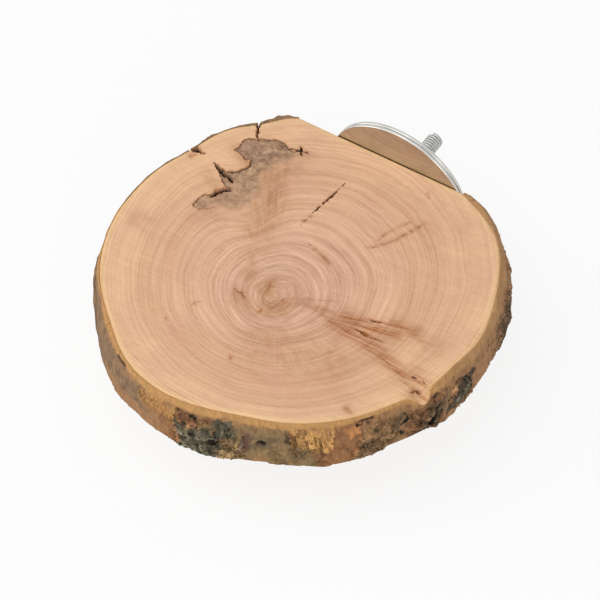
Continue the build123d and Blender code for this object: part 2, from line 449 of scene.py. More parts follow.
cuts = {
    "upperSeam": ([(-28.5, -13), (-31, -14.5), (-36.5, -13), (-43, -16), (-46.5, -18), (-46.5, -22),
                   (-47, -23.5)], 0.32, 1.3, 0.5, 0.5),
    "seamStar": ([(-29.5, -11.5), (-28.5, -13), (-27, -14.5)], 0.6, 1.5, 0.95, 0.3),
    "seamStarTwo": ([(-32, -14), (-28.5, -13), (-26.5, -12.5)], 0.5, 1.0, 0.85, 0.3),
    "tongueTop": ([(-47, -23.5), (-44.5, -24), (-42, -25), (-40, -24.5)], 0.25, 0.4, 0.3, 0.6),
    "tongueLow": ([(-40, -24.5), (-39, -26.5), (-39.5, -28), (-41, -30.5), (-43, -32), (-46, -32.5),
                   (-49.5, -31.5)], 0.38, 1.6, 0.5, 0.6),
    "spike": ([(-49.5, -31.5), (-47.5, -32.5), (-45, -33.5), (-43.5, -34.5)], 0.55, 4.0, 1.0, 0.4),
    "slash": ([(-44, -33.5), (-42, -34), (-40, -35)], 0.65, 3.0, 1.0, 0.5),
    "tongueTwo": ([(-47, -33), (-45, -34.5), (-42.5, -36.5), (-40.5, -38)], 0.25, 0.7, 0.4, 0.6),
    "void": ([(-39, -38), (-40.5, -39), (-41.5, -41), (-42.5, -43)], 1.0, 3.0, 0.95, 0.5),
    "lobeTop": ([(-42.5, -43), (-44.5, -44), (-45, -45.5), (-45.5, -49)], 0.25, 0.6, 0.4, 0.6),
    "lobeLow": ([(-45.5, -49), (-43.5, -50), (-40.5, -48.5), (-39, -46.5)], 0.25, 0.3, 0.25, 0.5),
    "rimCrack": ([(-47.5, -10), (-46.5, -11), (-45, -13), (-44, -15), (-43, -16)], 0.5, 9.0, 0.95, 0.4),
    "rimNotch": ([(-58, -29.5), (-57, -29.5), (-55.5, -30), (-54.5, -30)], 1.0, 2.2, 0.75, 0.4),
    "rimNotchLow": ([(-57.5, -32.5), (-56, -31.5)], 0.5, 0.6, 0.3, 0.4),
    "checkOne": ([(-9, -17.5), (-10, -25), (-11, -32.5)], 0.4, 0.9, 0.9, 0.35),
    "checkTail": ([(-11, -32.5), (-11.5, -38.5)], 0.45, 0.3, 0.45, 0.85),
    "checkTwo": ([(11.5, -35.5), (14, -33), (17, -28.5), (18.5, -25), (21.5, -18)], 0.45, 0.2, 0.12, 0.5),
    "checkThree": ([(12.5, -31.5), (13, -28), (15, -24), (17, -20)], 0.4, 0.2, 0.12, 0.45),
    "branchMain": ([(2, -66), (9, -63.5), (16.5, -62.5), (26, -59.5), (36.5, -56.5)], 0.55, 0.1, 0.16, 0.5),
    "branchCheck": ([(27.5, -59), (31, -58)], 0.4, 0.4, 0.6, 0.7),
    "branchLow": ([(9, -64), (18.5, -65), (27, -64), (37, -64)], 0.6, 0.15, 0.2, 0.55),
    "branchSplit": ([(25.5, -64), (30, -64.5), (34.5, -64)], 0.5, 0.5, 0.5, 0.8),
    "branchBound": ([(18.5, -65), (33, -67.5), (45.5, -71), (51, -75.5)], 0.55, 0.1, 0.12, 0.5),
    "knotMarkOne": ([(49.5, -70.5), (51, -70)], 0.4, 0.4, 0.6, 0.6),
    "knotMarkTwo": ([(53, -70), (54.5, -70.5)], 0.35, 0.4, 0.5, 0.6),
    "knotPit": ([(52, -75), (53, -74), (54.5, -73.5)], 0.8, 0.8, 0.55, 0.9),
    "heartLine": ([(-5, -76.5), (-3, -73), (-0.5, -70), (0.5, -65.5)], 0.4, 0.15, 0.38, 0.6),
    "heartCheck": ([(-15, -70.5), (-11.5, -71), (-9.5, -72)], 0.4, 0.2, 0.42, 0.6),
    "fleckOne": ([(-22.5, -82), (-21, -80)], 0.5, 0.1, 0.1, 0.6),
    "fleckTwo": ([(-26.5, -90.5), (-26, -91)], 0.5, 0.1, 0.25, 0.6),
    "fleckThree": ([(-1.5, -92.5), (-0.5, -93.5)], 0.5, 0.1, 0.2, 0.6),
    "fleckFour": ([(-5, -43.5), (-2, -44.5), (1, -45.5), (4.5, -47)], 0.4, 0.1, 0.0, 0.55),
    "fleckFive": ([(15.5, -6.5), (17, -9)], 0.4, 0.1, 0.0, 0.35),
    "heartMark": ([(-6.5, -62.5), (-5.5, -66.5)], 0.35, 0.1, 0.28, 0.5),
    "heartThread": ([(1, -65), (8, -61.5), (15.5, -58)], 0.35, 0.1, 0.1, 0.35),
}

# How much of a line is missing, for the ones that are rows of dots
broken = {"upperSeam": -0.35, "checkOne": -0.2, "checkTail": 0.05, "checkTwo": 0.1, "checkThree": 0.15,
          "branchMain": -0.1, "branchLow": -0.1, "branchBound": -0.15, "lobeLow": -0.1, "heartLine": 0.0,
          "fleckFour": -0.2}

# Brown streaks of the branch and the wound: a line, the reach to each side and how brown it is at the middle
streaks = [
    ([(1, -66.5), (9, -63.5)], 1.6, 0.42),
    ([(10, -64), (20, -62.5)], 1.8, 0.42),
    ([(20, -62.5), (28, -61.5), (37, -60)], 3.0, 0.72),
    ([(-30, -27), (-24.5, -34.5), (-24, -42), (-23.5, -49)], 3.6, 0.24),
    ([(18, -65.5), (33, -67), (46, -71), (53, -74.5)], 2.6, 0.72),
    ([(34, -56.5), (41, -55.5)], 2.2, 0.6),
    ([(50, -71), (55, -74)], 4.2, 0.65),
]

# Soft tints, in the same form
tints = [
    ([(-29, -17), (-28, -23), (-26, -31), (-21, -40), (-18, -52)], 5.0, 0.42),
    ([(-35, -23), (-31.5, -31), (-28, -41)], 1.3, 0.5),
    ([(-28.5, -19), (-26.5, -31), (-24, -40)], 1.6, 0.5),
    ([(-7, -62.5), (-6, -66)], 2.4, 0.9),
    ([(-13.5, -63.5), (-9, -66)], 3.2, 0.6),
    ([(-20, -52.5), (-14.5, -60)], 1.8, 0.5),
    ([(-40, -17), (-34, -21), (-31, -28)], 3.5, 0.55),
    ([(43, -57), (49, -58.5)], 3.6, 0.6),
    ([(-3, -73), (2, -70)], 3.2, 0.8),
    ([(0, -71.5), (3, -69)], 2.2, 0.8),
    ([(-11, -72), (-6.5, -75.5)], 1.6, 0.5),
    ([(-12, -72), (-7, -75)], 4.0, 0.45),
    ([(3, -85), (14, -80), (25, -78)], 9.0, 0.45),
    ([(12, -85.5), (17, -86)], 3.0, 0.6),
    ([(39.5, -90.5), (41, -91)], 1.4, 0.9),
    ([(-57, -64), (-55, -62)], 3.0, 0.4),
    ([(-47, -23), (-41, -25.5)], 2.8, 0.6),
    ([(-49, -36), (-43, -39.5)], 2.0, 0.5),
    ([(11.5, -35.5), (17, -28.5), (21.5, -18)], 0.9, 0.4),
    ([(12.5, -31.5), (13, -28), (17, -20)], 0.8, 0.35),
    ([(2, -46), (4.5, -47)], 1.0, 0.45),
]

# The grey stain beside the seams: its hard edge runs along the seams, its soft edge fades into the wood
stainHard = ["upperSeam", "tongueTop", "tongueLow", "tongueTwo", "void", "lobeTop", "lobeLow"]
stainSoft = [(-38, -49), (-31, -46), (-27, -40), (-27, -32), (-30, -27), (-29.5, -22.5), (-26.5, -18.5),
             (-26.5, -14.5)]

slab = {
    "outlineStep": 0.4,  # degrees
    "splitWindow": 7,  # outline steps, more than a split is wide
    "splitDepth": 0.4,
    "gridStep": 0.85,
    "gridMargin": 0.5,
    "gridStray": 0.18,  # share of a step
    "rowShare": 0.866,  # rows of equal triangles
    "baseGridStep": 1.7,
    "baseGridMargin": 0.8,
    "baseInset": 0.3,
    "lineStep": 0.35,
    "lineWander": 0.32,
    "wanderSize": 1.0,
    "lineMargin": 0.25,
    "edgeRows": (0.12, 0.3, 0.6),  # rows of points that follow the edge, for its rounding
    "edgeRound": 0.3,
    "edgeReach": 0.7,
    "knotAngle": 338.5,
    "knotReach": 3.0,
    "knotHalfTurn": 2.9,
    "knotPower": 2.4,
    "knotDip": 2.4,
    "knotStart": -4.0,  # the dip starts this far inside the rim
    "stainSink": 0.35,
    "stainFade": 6.5,
    "stainRagged": 1.5,
    "stainCover": 0.96,
    "stainThinning": (-26, -38, 0.2),  # from this y to that one it thins by this share
    "stainHalo": (4.0, 0.22),  # reach and strength outside its edge
    "levels": [(0.8, 0.95), (2.2, 0.85), (4.4, 0.2), (6.5, 0.0), (19.6, 0.0)],  # drop below the top, lip kept
    "wallDrop": 0.15,  # the wall starts at least this far below the rim
    # the wood's sides are painted browner: partly the side grain's own colour, partly painted shade on the
    # sides
    "wallBrown": 0.75,
    "blackWall": 8.0,  # how far down a crack blackens the wall
    "awayFromEdge": 9.0,
}


def overSplits(values, window):
    wrapped = np.concatenate([values[-window:], values, values[:window]])
    return np.median([wrapped[i:i + len(values)] for i in range(2 * window + 1)], axis=0)


def woodRadii(angles):
    tree = rayTree("wood_slab")
    axis = Vector((*log["centre"], log["clearHeight"]))
    found = []
    for angle in angles:
        hit = tree.ray_cast(axis, Vector((cos(angle), sin(angle), 0)), 2 * log["radius"])[0]
        found.append((hit - axis).length)
    plain = overSplits(found, slab["splitWindow"])
    return np.where(np.abs(plain - found) > slab["splitDepth"], plain, found)


outlineAngles = np.radians(np.arange(0, 360, slab["outlineStep"]))
outlineRadii = woodRadii(outlineAngles)


def woodRadius(angle):
    return np.interp(np.mod(angle, 2 * pi), outlineAngles, outlineRadii, period=2 * pi)


def knotLip(angle):
    turn = np.degrees(np.mod(angle - radians(slab["knotAngle"]) + pi, 2 * pi) - pi)
    return slab["knotReach"] * np.exp(-(np.abs(turn / slab["knotHalfTurn"]) ** slab["knotPower"]))


def lipDip(angle, beyond):
    share = smooth(slab["knotStart"], slab["knotReach"], beyond)
    return slab["knotDip"] * share * knotLip(angle) / slab["knotReach"]


def growthAt(points):
    offset = points[:, :2] - np.array(log["pith"])
    length = np.maximum(np.linalg.norm(offset, axis=1), 1e-6)
    direction = offset / length[:, None]
    lean = np.array(log["pith"]) - np.array(log["centre"])
    along = direction @ lean
    rim = -along + np.sqrt(along ** 2 - lean @ lean + log["radius"] ** 2)
    gap, _ = distanceTo(np.array(log["wound"], float), points[:, :2])
    return length / rim + log["woundBend"] * np.exp(-((gap / log["woundReach"]) ** 2))


def tracedLine(points, wander, seed):
    points = np.array(points, float)
    ends = np.vstack([2 * points[0] - points[1], points, 2 * points[-1] - points[-2]])
    traced = []
    for i in range(1, len(ends) - 2):
        before, start, end, after = ends[i - 1:i + 3]
        count = max(2, int(np.linalg.norm(end - start) / slab["lineStep"]))
        for t in np.arange(count) / count:  # Catmull-Rom between the two points
            traced.append(0.5 * (2 * start + (end - before) * t
                                 + (2 * before - 5 * start + 4 * end - after) * t ** 2
                                 + (3 * start - before - 3 * end + after) * t ** 3))
    traced.append(points[-1])
    traced = np.array(traced)
    flat = np.column_stack([traced, np.full(len(traced), seed * 3.7)])
    sway = [lumpy(flat, slab["wanderSize"], 3, draw) for draw in (seed, seed + 40)]
    return traced + wander * np.column_stack(sway)


def lineNormals(line):
    along = np.gradient(line, axis=0)
    along /= np.linalg.norm(along, axis=1)[:, None]
    return np.column_stack([-along[:, 1], along[:, 0]])


def distanceTo(line, points):
    best = np.full(len(points), 1e9)
    share = np.zeros(len(points))
    for i in range(len(line) - 1):
        start, step = line[i], line[i + 1] - line[i]
        t = np.clip((points - start) @ step / max(step @ step, 1e-12), 0, 1)
        gap = np.linalg.norm(points - start - t[:, None] * step, axis=1)
        closer = gap < best
        best = np.where(closer, gap, best)
        share = np.where(closer, (i + t) / (len(line) - 1), share)
    return best, share


def edgeGap(loop, points):
    return distanceTo(np.vstack([loop, loop[:1]]), points)[0]


def drawnIn(loop, inset):
    return loop + (np.array(log["centre"]) - loop) * (inset / outlineRadii)[:, None]


def insideLoop(loop, points):
    inside = np.zeros(len(points), bool)
    for (ax, ay), (bx, by) in zip(loop, np.roll(loop, -1, axis=0)):
        crosses = (ay > points[:, 1]) != (by > points[:, 1])
        cut = ax + (points[:, 1] - ay) * (bx - ax) / ((by - ay) if by != ay else 1e-12)
        inside ^= crosses & (points[:, 0] < cut)
    return inside


def gridInside(loop, step, margin, seed):
    low, high = loop.min(axis=0), loop.max(axis=0)
    rows = np.arange(low[1], high[1], step * slab["rowShare"])
    spots = []
    for i, y in enumerate(rows):
        x = np.arange(low[0] + (i % 2) * step / 2, high[0], step)
        spots.append(np.column_stack([x, np.full(len(x), y)]))
    spots = np.vstack(spots)
    stray = slab["gridStray"] * step
    spots += np.random.default_rng(seed).uniform(-stray, stray, spots.shape)
    spots = spots[insideLoop(loop, spots)]
    return spots[edgeGap(loop, spots) > margin]


def filledLoop(loop, spots):
    points = [Vector(p) for p in np.vstack([loop, spots])]
    out = delaunay_2d_cdt(points, [], [list(range(len(loop)))], 1, 1e-5, True)
    places = np.array([tuple(p) for p in out[0]])
    order = np.full(len(points), -1)
    for index, sources in enumerate(out[3]):
        for source in sources:
            order[source] = index
    faces = np.array(out[2])
    faces = faces[insideLoop(loop, places[faces].mean(axis=1))]  # none across a hollow of the outline
    return places, faces.tolist(), order[:len(loop)]


def slabSpots(loop, lines):
    spots = [gridInside(loop, slab["gridStep"], slab["gridMargin"], 3)]
    spots += [drawnIn(loop, inset) for inset in slab["edgeRows"]]
    for name, line in lines.items():
        half = cuts[name][1]
        side = lineNormals(line)
        spots.append(line)
        for offset in (0.5 * half, half, half + slab["lineMargin"]):
            spots += [line + side * offset, line - side * offset]
    spots = np.vstack(spots)
    return spots[insideLoop(loop, spots)]


def cutLayers(flat, lines):
    dark, brown, sink = np.zeros((3, len(flat)))
    for seed, (name, line) in enumerate(lines.items()):
        _, half, depth, blackness, brownness = cuts[name]
        gap, share = distanceTo(line, flat)
        width = half * (0.35 + 0.65 * np.sqrt(np.sin(pi * np.clip(share, 0.02, 0.98))))
        if name.startswith("rim"):  # open at the rim and narrow at the other end
            width = half * (1.5 - 1.2 * share)
        near = gap < 4 * half
        travel = share[near] * len(line) * slab["lineStep"]
        path = np.column_stack([travel, np.full(near.sum(), seed * 2.3), np.zeros(near.sum())])
        width[near] *= np.clip(0.9 + 0.9 * lumpy(path, 1.3, 3, seed + 50), 0.25, 1.7)
        whole = np.ones(len(flat))
        if name in broken:
            whole[near] = smooth(broken[name] - 0.15, broken[name] + 0.1, lumpy(path, 1.4, 2, seed))
        shape = whole * (1 - smooth(0.35 * width, 1.05 * width, gap))
        sink = np.maximum(sink, depth * shape)
        dark = np.maximum(dark, blackness * shape)
        halo = (0.25 + 0.75 * whole) * (1 - smooth(0.4 * width, 2.6 * width, gap))
        brown = np.maximum(brown, brownness * halo)
    return dark, brown, sink


def markLayer(layer, marks, flat):
    for line, reach, amount in marks:
        gap, _ = distanceTo(np.array(line), flat)
        layer = np.maximum(layer, amount * np.exp(-((gap / reach) ** 2)))
    return layer


def stainLayer(flat, lines):
    border = np.vstack([lines[name] for name in stainHard] + [np.array(stainSoft)])
    within = insideLoop(border, flat)
    fade, _ = distanceTo(np.array(stainSoft), flat)
    solid = np.column_stack([flat, np.zeros(len(flat))])
    stain = within * smooth(0.0, slab["stainFade"], fade + slab["stainRagged"] * lumpy(solid, 3.0, 4, 12))
    reach, strength = slab["stainHalo"]
    halo = np.exp(-((fade / reach) ** 2)) * ~within * strength
    start, end, thinning = slab["stainThinning"]
    cover = slab["stainCover"] - thinning * smooth(start, end, flat[:, 1])
    stain = np.clip(np.maximum(cover * stain, halo), 0, 1)
    sink = slab["stainSink"] * stain * (0.6 + 0.8 * lumpy(solid, 1.3, 4, 13)) * smooth(0.0, 0.5, stain)
    return stain, sink


def addLayers(layers, count, **given):
    for name, values in layers.items():
        values.append(np.broadcast_to(given.get(name, 0.0), count))


def woodSlab(material):
    plainLoop = onLog(outlineAngles, outlineRadii, 0.0)[:, :2]
    loop = onLog(outlineAngles, outlineRadii + knotLip(outlineAngles), 0.0)[:, :2]
    lines = {name: tracedLine(cut[0], slab["lineWander"], seed)
             for seed, (name, cut) in enumerate(cuts.items())}
    flat, faces, rim = filledLoop(loop, slabSpots(loop, lines))
    total = len(flat)
    edge = edgeGap(loop, flat)
    dark, brown, cutSink = cutLayers(flat, lines)
    stain, stainSink = stainLayer(flat, lines)
    angle = angleOf(flat)
    beyond = np.linalg.norm(flat - np.array(log["centre"]), axis=1) - woodRadius(angle)
    rounding = slab["edgeRound"] * (1 - smooth(0, slab["edgeReach"], edge)) ** 2
    height = log["top"] - (cutSink + stainSink) - lipDip(angle, beyond) - rounding

    # The top face, then the wall ring by ring, then the face underneath
    points = [np.column_stack([flat, height])]
    rings = [list(rim)]
    layers = {name: [] for name in ("growth", "edge", "stain", "brown", "tint", "dark")}
    addLayers(layers, total, growth=growthAt(flat), edge=edge, stain=stain, dark=np.clip(dark, 0, 1),
              brown=markLayer(brown, streaks, flat), tint=markLayer(np.zeros(total), tints, flat))
    for drop, kept in slab["levels"]:
        wall = plainLoop + (loop - plainLoop) * kept
        points.append(np.column_stack([wall, np.minimum(log["top"] - drop, height[rim] - slab["wallDrop"])]))
        # Walls get full tint and brown: the side grain's own colour and painted shade on the sides
        addLayers(layers, len(wall), growth=growthAt(wall), edge=slab["awayFromEdge"], tint=1.0,
                  brown=slab["wallBrown"], dark=dark[rim] * (drop < slab["blackWall"]))
        rings.append(list(range(total, total + len(wall))))
        total += len(wall)
    inner = drawnIn(plainLoop, slab["baseInset"])
    under, underFaces, underRim = filledLoop(
        inner, gridInside(inner, slab["baseGridStep"], slab["baseGridMargin"], 5))
    points.append(np.column_stack([under, np.full(len(under), log["bottom"])]))
    addLayers(layers, len(under), growth=growthAt(under), edge=edgeGap(inner, under))
    rings.append([total + i for i in underRim])
    faces += loftFaces(rings) + [[total + i for i in face] for face in underFaces]
    layers = {name: np.concatenate(values) for name, values in layers.items()}
    piece = meshPiece("woodSlab", np.vstack(points), faces, material, layers, sharp=50)
    return settle(piece, "perch", "sanded_wood", "wood_slab")


woodSlab(woodMaterial())
print("wood slab made")


# Bark colours by age and state, painted on inner and outer bark alike so that plates run into their seat

barkColours = {
    "shaved": "c6965f",
    "oldShaved": "b48a60",
    "brown": "a67c57",
    "red": "976a47",
    "grey": "8d7258",
    "greyDark": "735e4a",
    "olive": "8d7654",
    "straw": "c8985e",
    "fawn": "8f7452",
    "moss": "534f40",
    "lichen": "857e67",
    "umber": "714e36",
    "plum": "6b5142",
    "char": "544a3e",
    "drab": "8f704e",
    "drabDark": "64503a",
    "orange": "cf9059",
    "fox": "ad8357",
    "crust": "968b76",
    "black": "221a15",
}

# Patches, later ones on top: colour, start and end angle, low and high z, strength, lean in degrees per mm
barkPatches = [
    ("grey", 117, 205, -9, 13, 0.9, 0), ("greyDark", 117, 196, 9, 13, 0.25, 0),
    ("grey", 198, 257, 0.5, 11, 1.0, 0), ("greyDark", 198, 236, -9, 3, 0.5, 0),
    ("red", 262, 272, -9, 6, 0.9, 0), ("straw", 255, 268, 4.8, 9.6, 0.9, 0),
    ("umber", 267, 280, 5.5, 10, 0.9, 0), ("moss", 267.5, 279.5, -9, 5.2, 0.95, 0),
    ("olive", 280, 292, -9, 6, 0.9, 0.5), ("fawn", 276.5, 284, -4, 8, 0.85, -0.45),
    ("moss", 278.5, 284, 2.8, 10.2, 0.95, 0), ("olive", 288, 305.5, -9, 9, 0.95, -0.7),
    ("fawn", 283.4, 290, -3.6, 7.2, 0.85, 0.35), ("plum", 285, 288.4, -2.4, 5.4, 0.95, 0.35),
    ("char", 288, 293.5, -1, 4.4, 0.5, 0.5), ("red", 307, 320, -9, 10.4, 0.9, 0),
    ("straw", 300.5, 312, 6.4, 9.8, 0.95, 0), ("straw", 305.5, 310, 2.6, 7, 0.9, 0),
    ("orange", 319, 322, 5, 8.6, 0.95, -0.4),
    ("drab", 319, 335, -9, 8.6, 0.85, 0.3), ("drabDark", 320, 327, -9, 1.5, 0.6, 0.3),
    ("drabDark", 328, 331.5, -0.5, 6, 0.85, 0.3), ("umber", 334, 347, -9, 8.8, 0.75, 0),
    ("char", 339, 346.5, -6, 5.5, 0.6, 0.4), ("brown", 345, 378, -9, 9, 0.8, 0),
    ("char", 348.5, 357, -4.4, 4.6, 0.95, 0.5), ("greyDark", 373, 388, -9, 5, 0.6, 0),
    ("char", 377, 384, -6, 3, 0.6, 0.3), ("grey", 386, 418, -9, 5.5, 0.5, 0),
]

# Where the bark is rough, and where it is pitted: start and end angle, low and high z, strength, lean
roughPatches = [(266, 287, -9, 9.5, 1.0, 0), (316, 350, -9, 8.8, 1.0, 0), (347, 358, -6, 5, 1.0, 0.5),
                (366, 418, -9, 8.5, 0.8, 0), (117, 200, -9, 13, 0.7, 0)]
pitPatches = [(288.8, 292.2, 0.4, 2.8, 0.6, 0.5), (243, 247.6, 10.4, 10.9, 0.9, 0),
              (313.5, 318, 9.6, 10.4, 0.8, 0.6), (342, 344, -5, 3.5, 0.9, 0.5)]

# Humps of bark at the rim: angle, half width in degrees and height in mm
humps = [(129, 2.5, 1.2), (133, 3, 0.9), (140, 2.5, 0.7), (153, 3, 0.6), (165, 2, 0.3), (29, 4, 0.5),
         (16, 3, 0.4)]

# Angle, and mm by which the bark stands out from the CAD surface at the top edge and at the foot
barkTrim = [(117, -0.9, 0), (125, -0.9, 0), (128, 0, 0), (165, -0.5, 0), (178, -1.1, -1.2), (188, -1.3, -1.6),
            (198, -1.5, -1.5), (206, -1.5, -1.0), (214, -1.6, -1.1), (220, -1.4, -0.4), (226, -0.6, 0.9),
            (232, 0, 1.2), (243, 0, 1.0), (251, 0, -0.4), (258, 0, -0.2), (268, 0, 0.7), (276, 0, 1.3),
            (288, 0, 1.1), (300, 0, 0.4), (324, 0, 0.4), (330, 0, -1.0), (336, 0, -2.0), (341, 0, -1.4),
            (346, 0, 0.3), (350, 0, 0.5), (358, 0, -0.6), (368, 0, -1.2), (377, 0, -0.4), (384, -0.3, 0.8),
            (388, -1.0, -0.2), (395, -1.2, -1.2), (402, -0.8, -1.0), (408, 0.2, 0.2), (415, 0.7, 0.5)]

innerBark = {
    "columnStep": 0.4,
    "leastColumns": 12,
    "rowStep": 0.5,
    "edgeRow": 0.25,
    "belowTop": 0.05,
    "bottomRound": 0.5,
    "lump": 0.26,
    "roughLump": 0.5,
    "lumpSize": 4.0,
    "fibre": 0.12,
    "fibreSize": 0.9,
    "fissure": 0.4,
    "fissureSize": 3.4,
    "pit": 0.9,
    "ragged": 2.0,  # mm that a patch's edge strays
    "raggedSize": 2.6,
    "leastOnWood": 0.3,
    "leastAtFoot": 0.05,
    "backSink": 0.02,
    "backDrop": 0.2,
    "splitWander": 0.8,
    "splitGap": 0.05,
    "woodSplitGap": 0.6,  # where the wood is split too
    "woodSplits": 2,
    "measureStep": 0.5,
    "measureInset": 0.05,
    "measureRows": 30,
    "measureWindow": 4,
    "spanStep": 0.5,
    "spanHalvings": 6,
    "spanInset": 0.5,
    "spanMiddle": 2.0,
    # Angle and depth in mm of the band that the knife shaved below the top edge
    "shavedBand": [(117, -1.0), (185, -1.0), (196, 4.0), (212, 3.4), (222, 1.5), (232, 1.0), (245, 1.2),
                   (262, 2.0), (276, 1.9), (281, 1.6), (290, 2.6), (299, 2.6), (304, 1.7), (320, 1.5),
                   (332, 1.3), (345, 2.6), (365, 3.2), (380, 3.6), (417, 4.2)],
}


def roundTheLog(angles):
    turns = np.mod(np.degrees(angles), 360)
    return np.where(turns < 90, turns + 360, turns)


def shavedDepth(angles):
    return np.interp(roundTheLog(angles), *np.array(innerBark["shavedBand"]).T)


def edgeStray(places):
    return lumpy(places, innerBark["raggedSize"], 6, 31)


def patchShare(start, end, low, high, strength, lean, angles, heights, jitter):
    turn = np.mod(np.degrees(angles) - lean * heights - start + 90, 360) - 90
    arc = pi / 180 * log["radius"]
    room = np.minimum(np.minimum(turn, end - start - turn) * arc, np.minimum(heights - low, high - heights))
    ragged = min(innerBark["ragged"], (end - start) * arc / 3, (high - low) / 3)
    return strength * smooth(-0.7, 0.7, room + ragged * jitter)


def patchCover(patches, angles, heights, jitter):
    return np.max([patchShare(*patch, angles, heights, jitter) for patch in patches], axis=0)


def strawCover(angles, heights, jitter):
    return patchCover([patch[1:] for patch in barkPatches if patch[0] == "straw"], angles, heights, jitter)


def barkTint(angles, heights, jitter):
    colours = {name: np.array(hexColour(code)) for name, code in barkColours.items()}
    tint = np.tile(colours["brown"], (*np.shape(angles), 1))

    def lay(name, share):
        return tint * (1 - share[..., None]) + colours[name] * share[..., None]

    growths = ("moss", "char", "plum")
    for name, *patch in barkPatches:
        if name not in growths:
            tint = lay(name, patchShare(*patch, angles, heights, jitter))
    flat = np.stack([angles * log["radius"], heights * 0.6, np.zeros_like(angles)], axis=-1)
    speck = lumpy(flat.reshape(-1, 3), 1.7, 4, 44).reshape(np.shape(angles))
    tint = lay("fox", 0.4 * smooth(0.05, 0.6, speck))
    tint = lay("umber", 0.5 * smooth(0.05, 0.6, -speck))
    for name, *patch in barkPatches:
        if name in growths:
            share = patchShare(*patch, angles, heights, jitter)
            tint = lay(name, share)
            tint = lay("lichen", 0.7 * share * smooth(0.15, 0.5, speck))
    below = log["top"] - heights - shavedDepth(angles)
    share = smooth(0.3, -0.3, below - 0.5 * jitter) * (0.9 - 0.3 * np.abs(speck))
    aged = smooth(340, 365, roundTheLog(angles))
    tint = lay("shaved", share * (1 - aged))
    return lay("oldShaved", share * aged)


innerNodes = [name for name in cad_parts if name.startswith("inner_bark")]
underBark = rayTree("wood_slab", *innerNodes)
inset = innerBark["measureInset"]
barkRows = np.linspace(log["bottom"] + inset, log["top"] - inset, innerBark["measureRows"])
barkAngles = np.radians(np.arange(0, 360, innerBark["measureStep"]))
barkRadii = np.array([
    overSplits([radiusOutside(underBark, angle, height) for angle in barkAngles], innerBark["measureWindow"])
    for height in barkRows])


def barkRadius(angles, heights):
    across = np.mod(angles, 2 * pi) / radians(innerBark["measureStep"])
    column = np.floor(across).astype(int)
    share = across - column
    column %= len(barkAngles)
    following = (column + 1) % len(barkAngles)
    level = np.clip((heights - barkRows[0]) / (barkRows[1] - barkRows[0]), 0, len(barkRows) - 1.001)
    row = np.floor(level).astype(int)
    rise = level - row
    lower = barkRadii[row, column] * (1 - share) + barkRadii[row, following] * share
    upper = barkRadii[row + 1, column] * (1 - share) + barkRadii[row + 1, following] * share
    turns, atTop, atFoot = np.array(barkTrim).T
    around = roundTheLog(angles)
    down = (log["top"] - heights) / (log["top"] - log["bottom"])
    trim = np.interp(around, turns, atTop) * (1 - down) + np.interp(around, turns, atFoot) * down
    return lower * (1 - rise) + upper * rise + trim


# Inner bark: shaved at the top, so it is smooth and tan there and rougher, greyer and redder lower down

def innerBarkMaterial():
    material, tree, shader, place = newMaterial("shavedInnerBark")
    tint = addNode(tree, "ShaderNodeAttribute", attribute_name="tint").outputs["Color"]
    hollow = addNode(tree, "ShaderNodeAttribute", attribute_name="hollow").outputs["Fac"]
    spread = addNode(tree, "ShaderNodeMapping", {"Vector": place, "Scale": (1.0, 1.0, 0.2)})
    fibres = addNode(tree, "ShaderNodeTexNoise", {
        "Vector": spread, "Scale": perMetre(0.8), "Detail": 5.0, "Roughness": 0.72})
    blotch = addNode(tree, "ShaderNodeTexNoise", {
        "Vector": place, "Scale": perMetre(2.6), "Detail": 5.0, "Roughness": 0.68})
    tone = addNode(tree, "ShaderNodeMapRange", {
        "Value": fibres, "From Min": 0.3, "From Max": 0.7, "To Min": 0.56, "To Max": 1.0})
    tone = addNode(tree, "ShaderNodeMath", {0: blotch, 1: 0.46, 2: tone}, operation="MULTIPLY_ADD")
    colour = addNode(tree, "ShaderNodeVectorMath", {0: tint, "Scale": tone}, operation="SCALE")
    # Painted shade: the hollow layer darkens fissures, pits and the hollows between lumps towards black
    deep = addNode(tree, "ShaderNodeMath", {0: blotch, 1: 0.6, 2: hollow}, operation="MULTIPLY_ADD")
    deep = addNode(tree, "ShaderNodeMapRange", {"Value": deep, "From Min": 0.5, "From Max": 0.95})
    colour = addNode(tree, "ShaderNodeMix", {
        "Factor": deep, "A": colour, "B": barkColours["black"]}, data_type="RGBA")
    bump = addNode(tree, "ShaderNodeBump", {"Strength": 0.5, "Distance": 0.25 * mm, "Height": fibres})
    setInputs(tree, shader, {
        "Base Color": colour, "Normal": bump, "Roughness": 0.75, "Specular IOR Level": 0.12})
    return material


def nodeMiddle(name):
    low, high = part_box(name)
    spots = np.array([v.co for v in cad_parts[name].data.vertices]) / mm
    angles = angleOf(spots)
    mean = np.arctan2(np.sin(angles).mean(), np.cos(angles).mean())
    swing = np.mod(angles - mean + pi, 2 * pi) - pi
    middle = np.mod(mean + (swing.max() + swing.min()) / 2, 2 * pi)
    return middle + (2 * pi if middle < pi / 2 else 0), (low.z + high.z) / 2 / mm


def angleSpan(tree, middle, height):
    ends = []
    for way in (-1, 1):
        step = radians(innerBark["spanStep"]) * way
        angle = middle
        while radiusOutside(tree, angle + step, height) is not None:
            angle += step
        good, missed = angle, angle + step
        for _ in range(innerBark["spanHalvings"]):
            half = (good + missed) / 2
            if radiusOutside(tree, half, height) is None:
                missed = half
            else:
                good = half
        ends.append(good)
    return ends


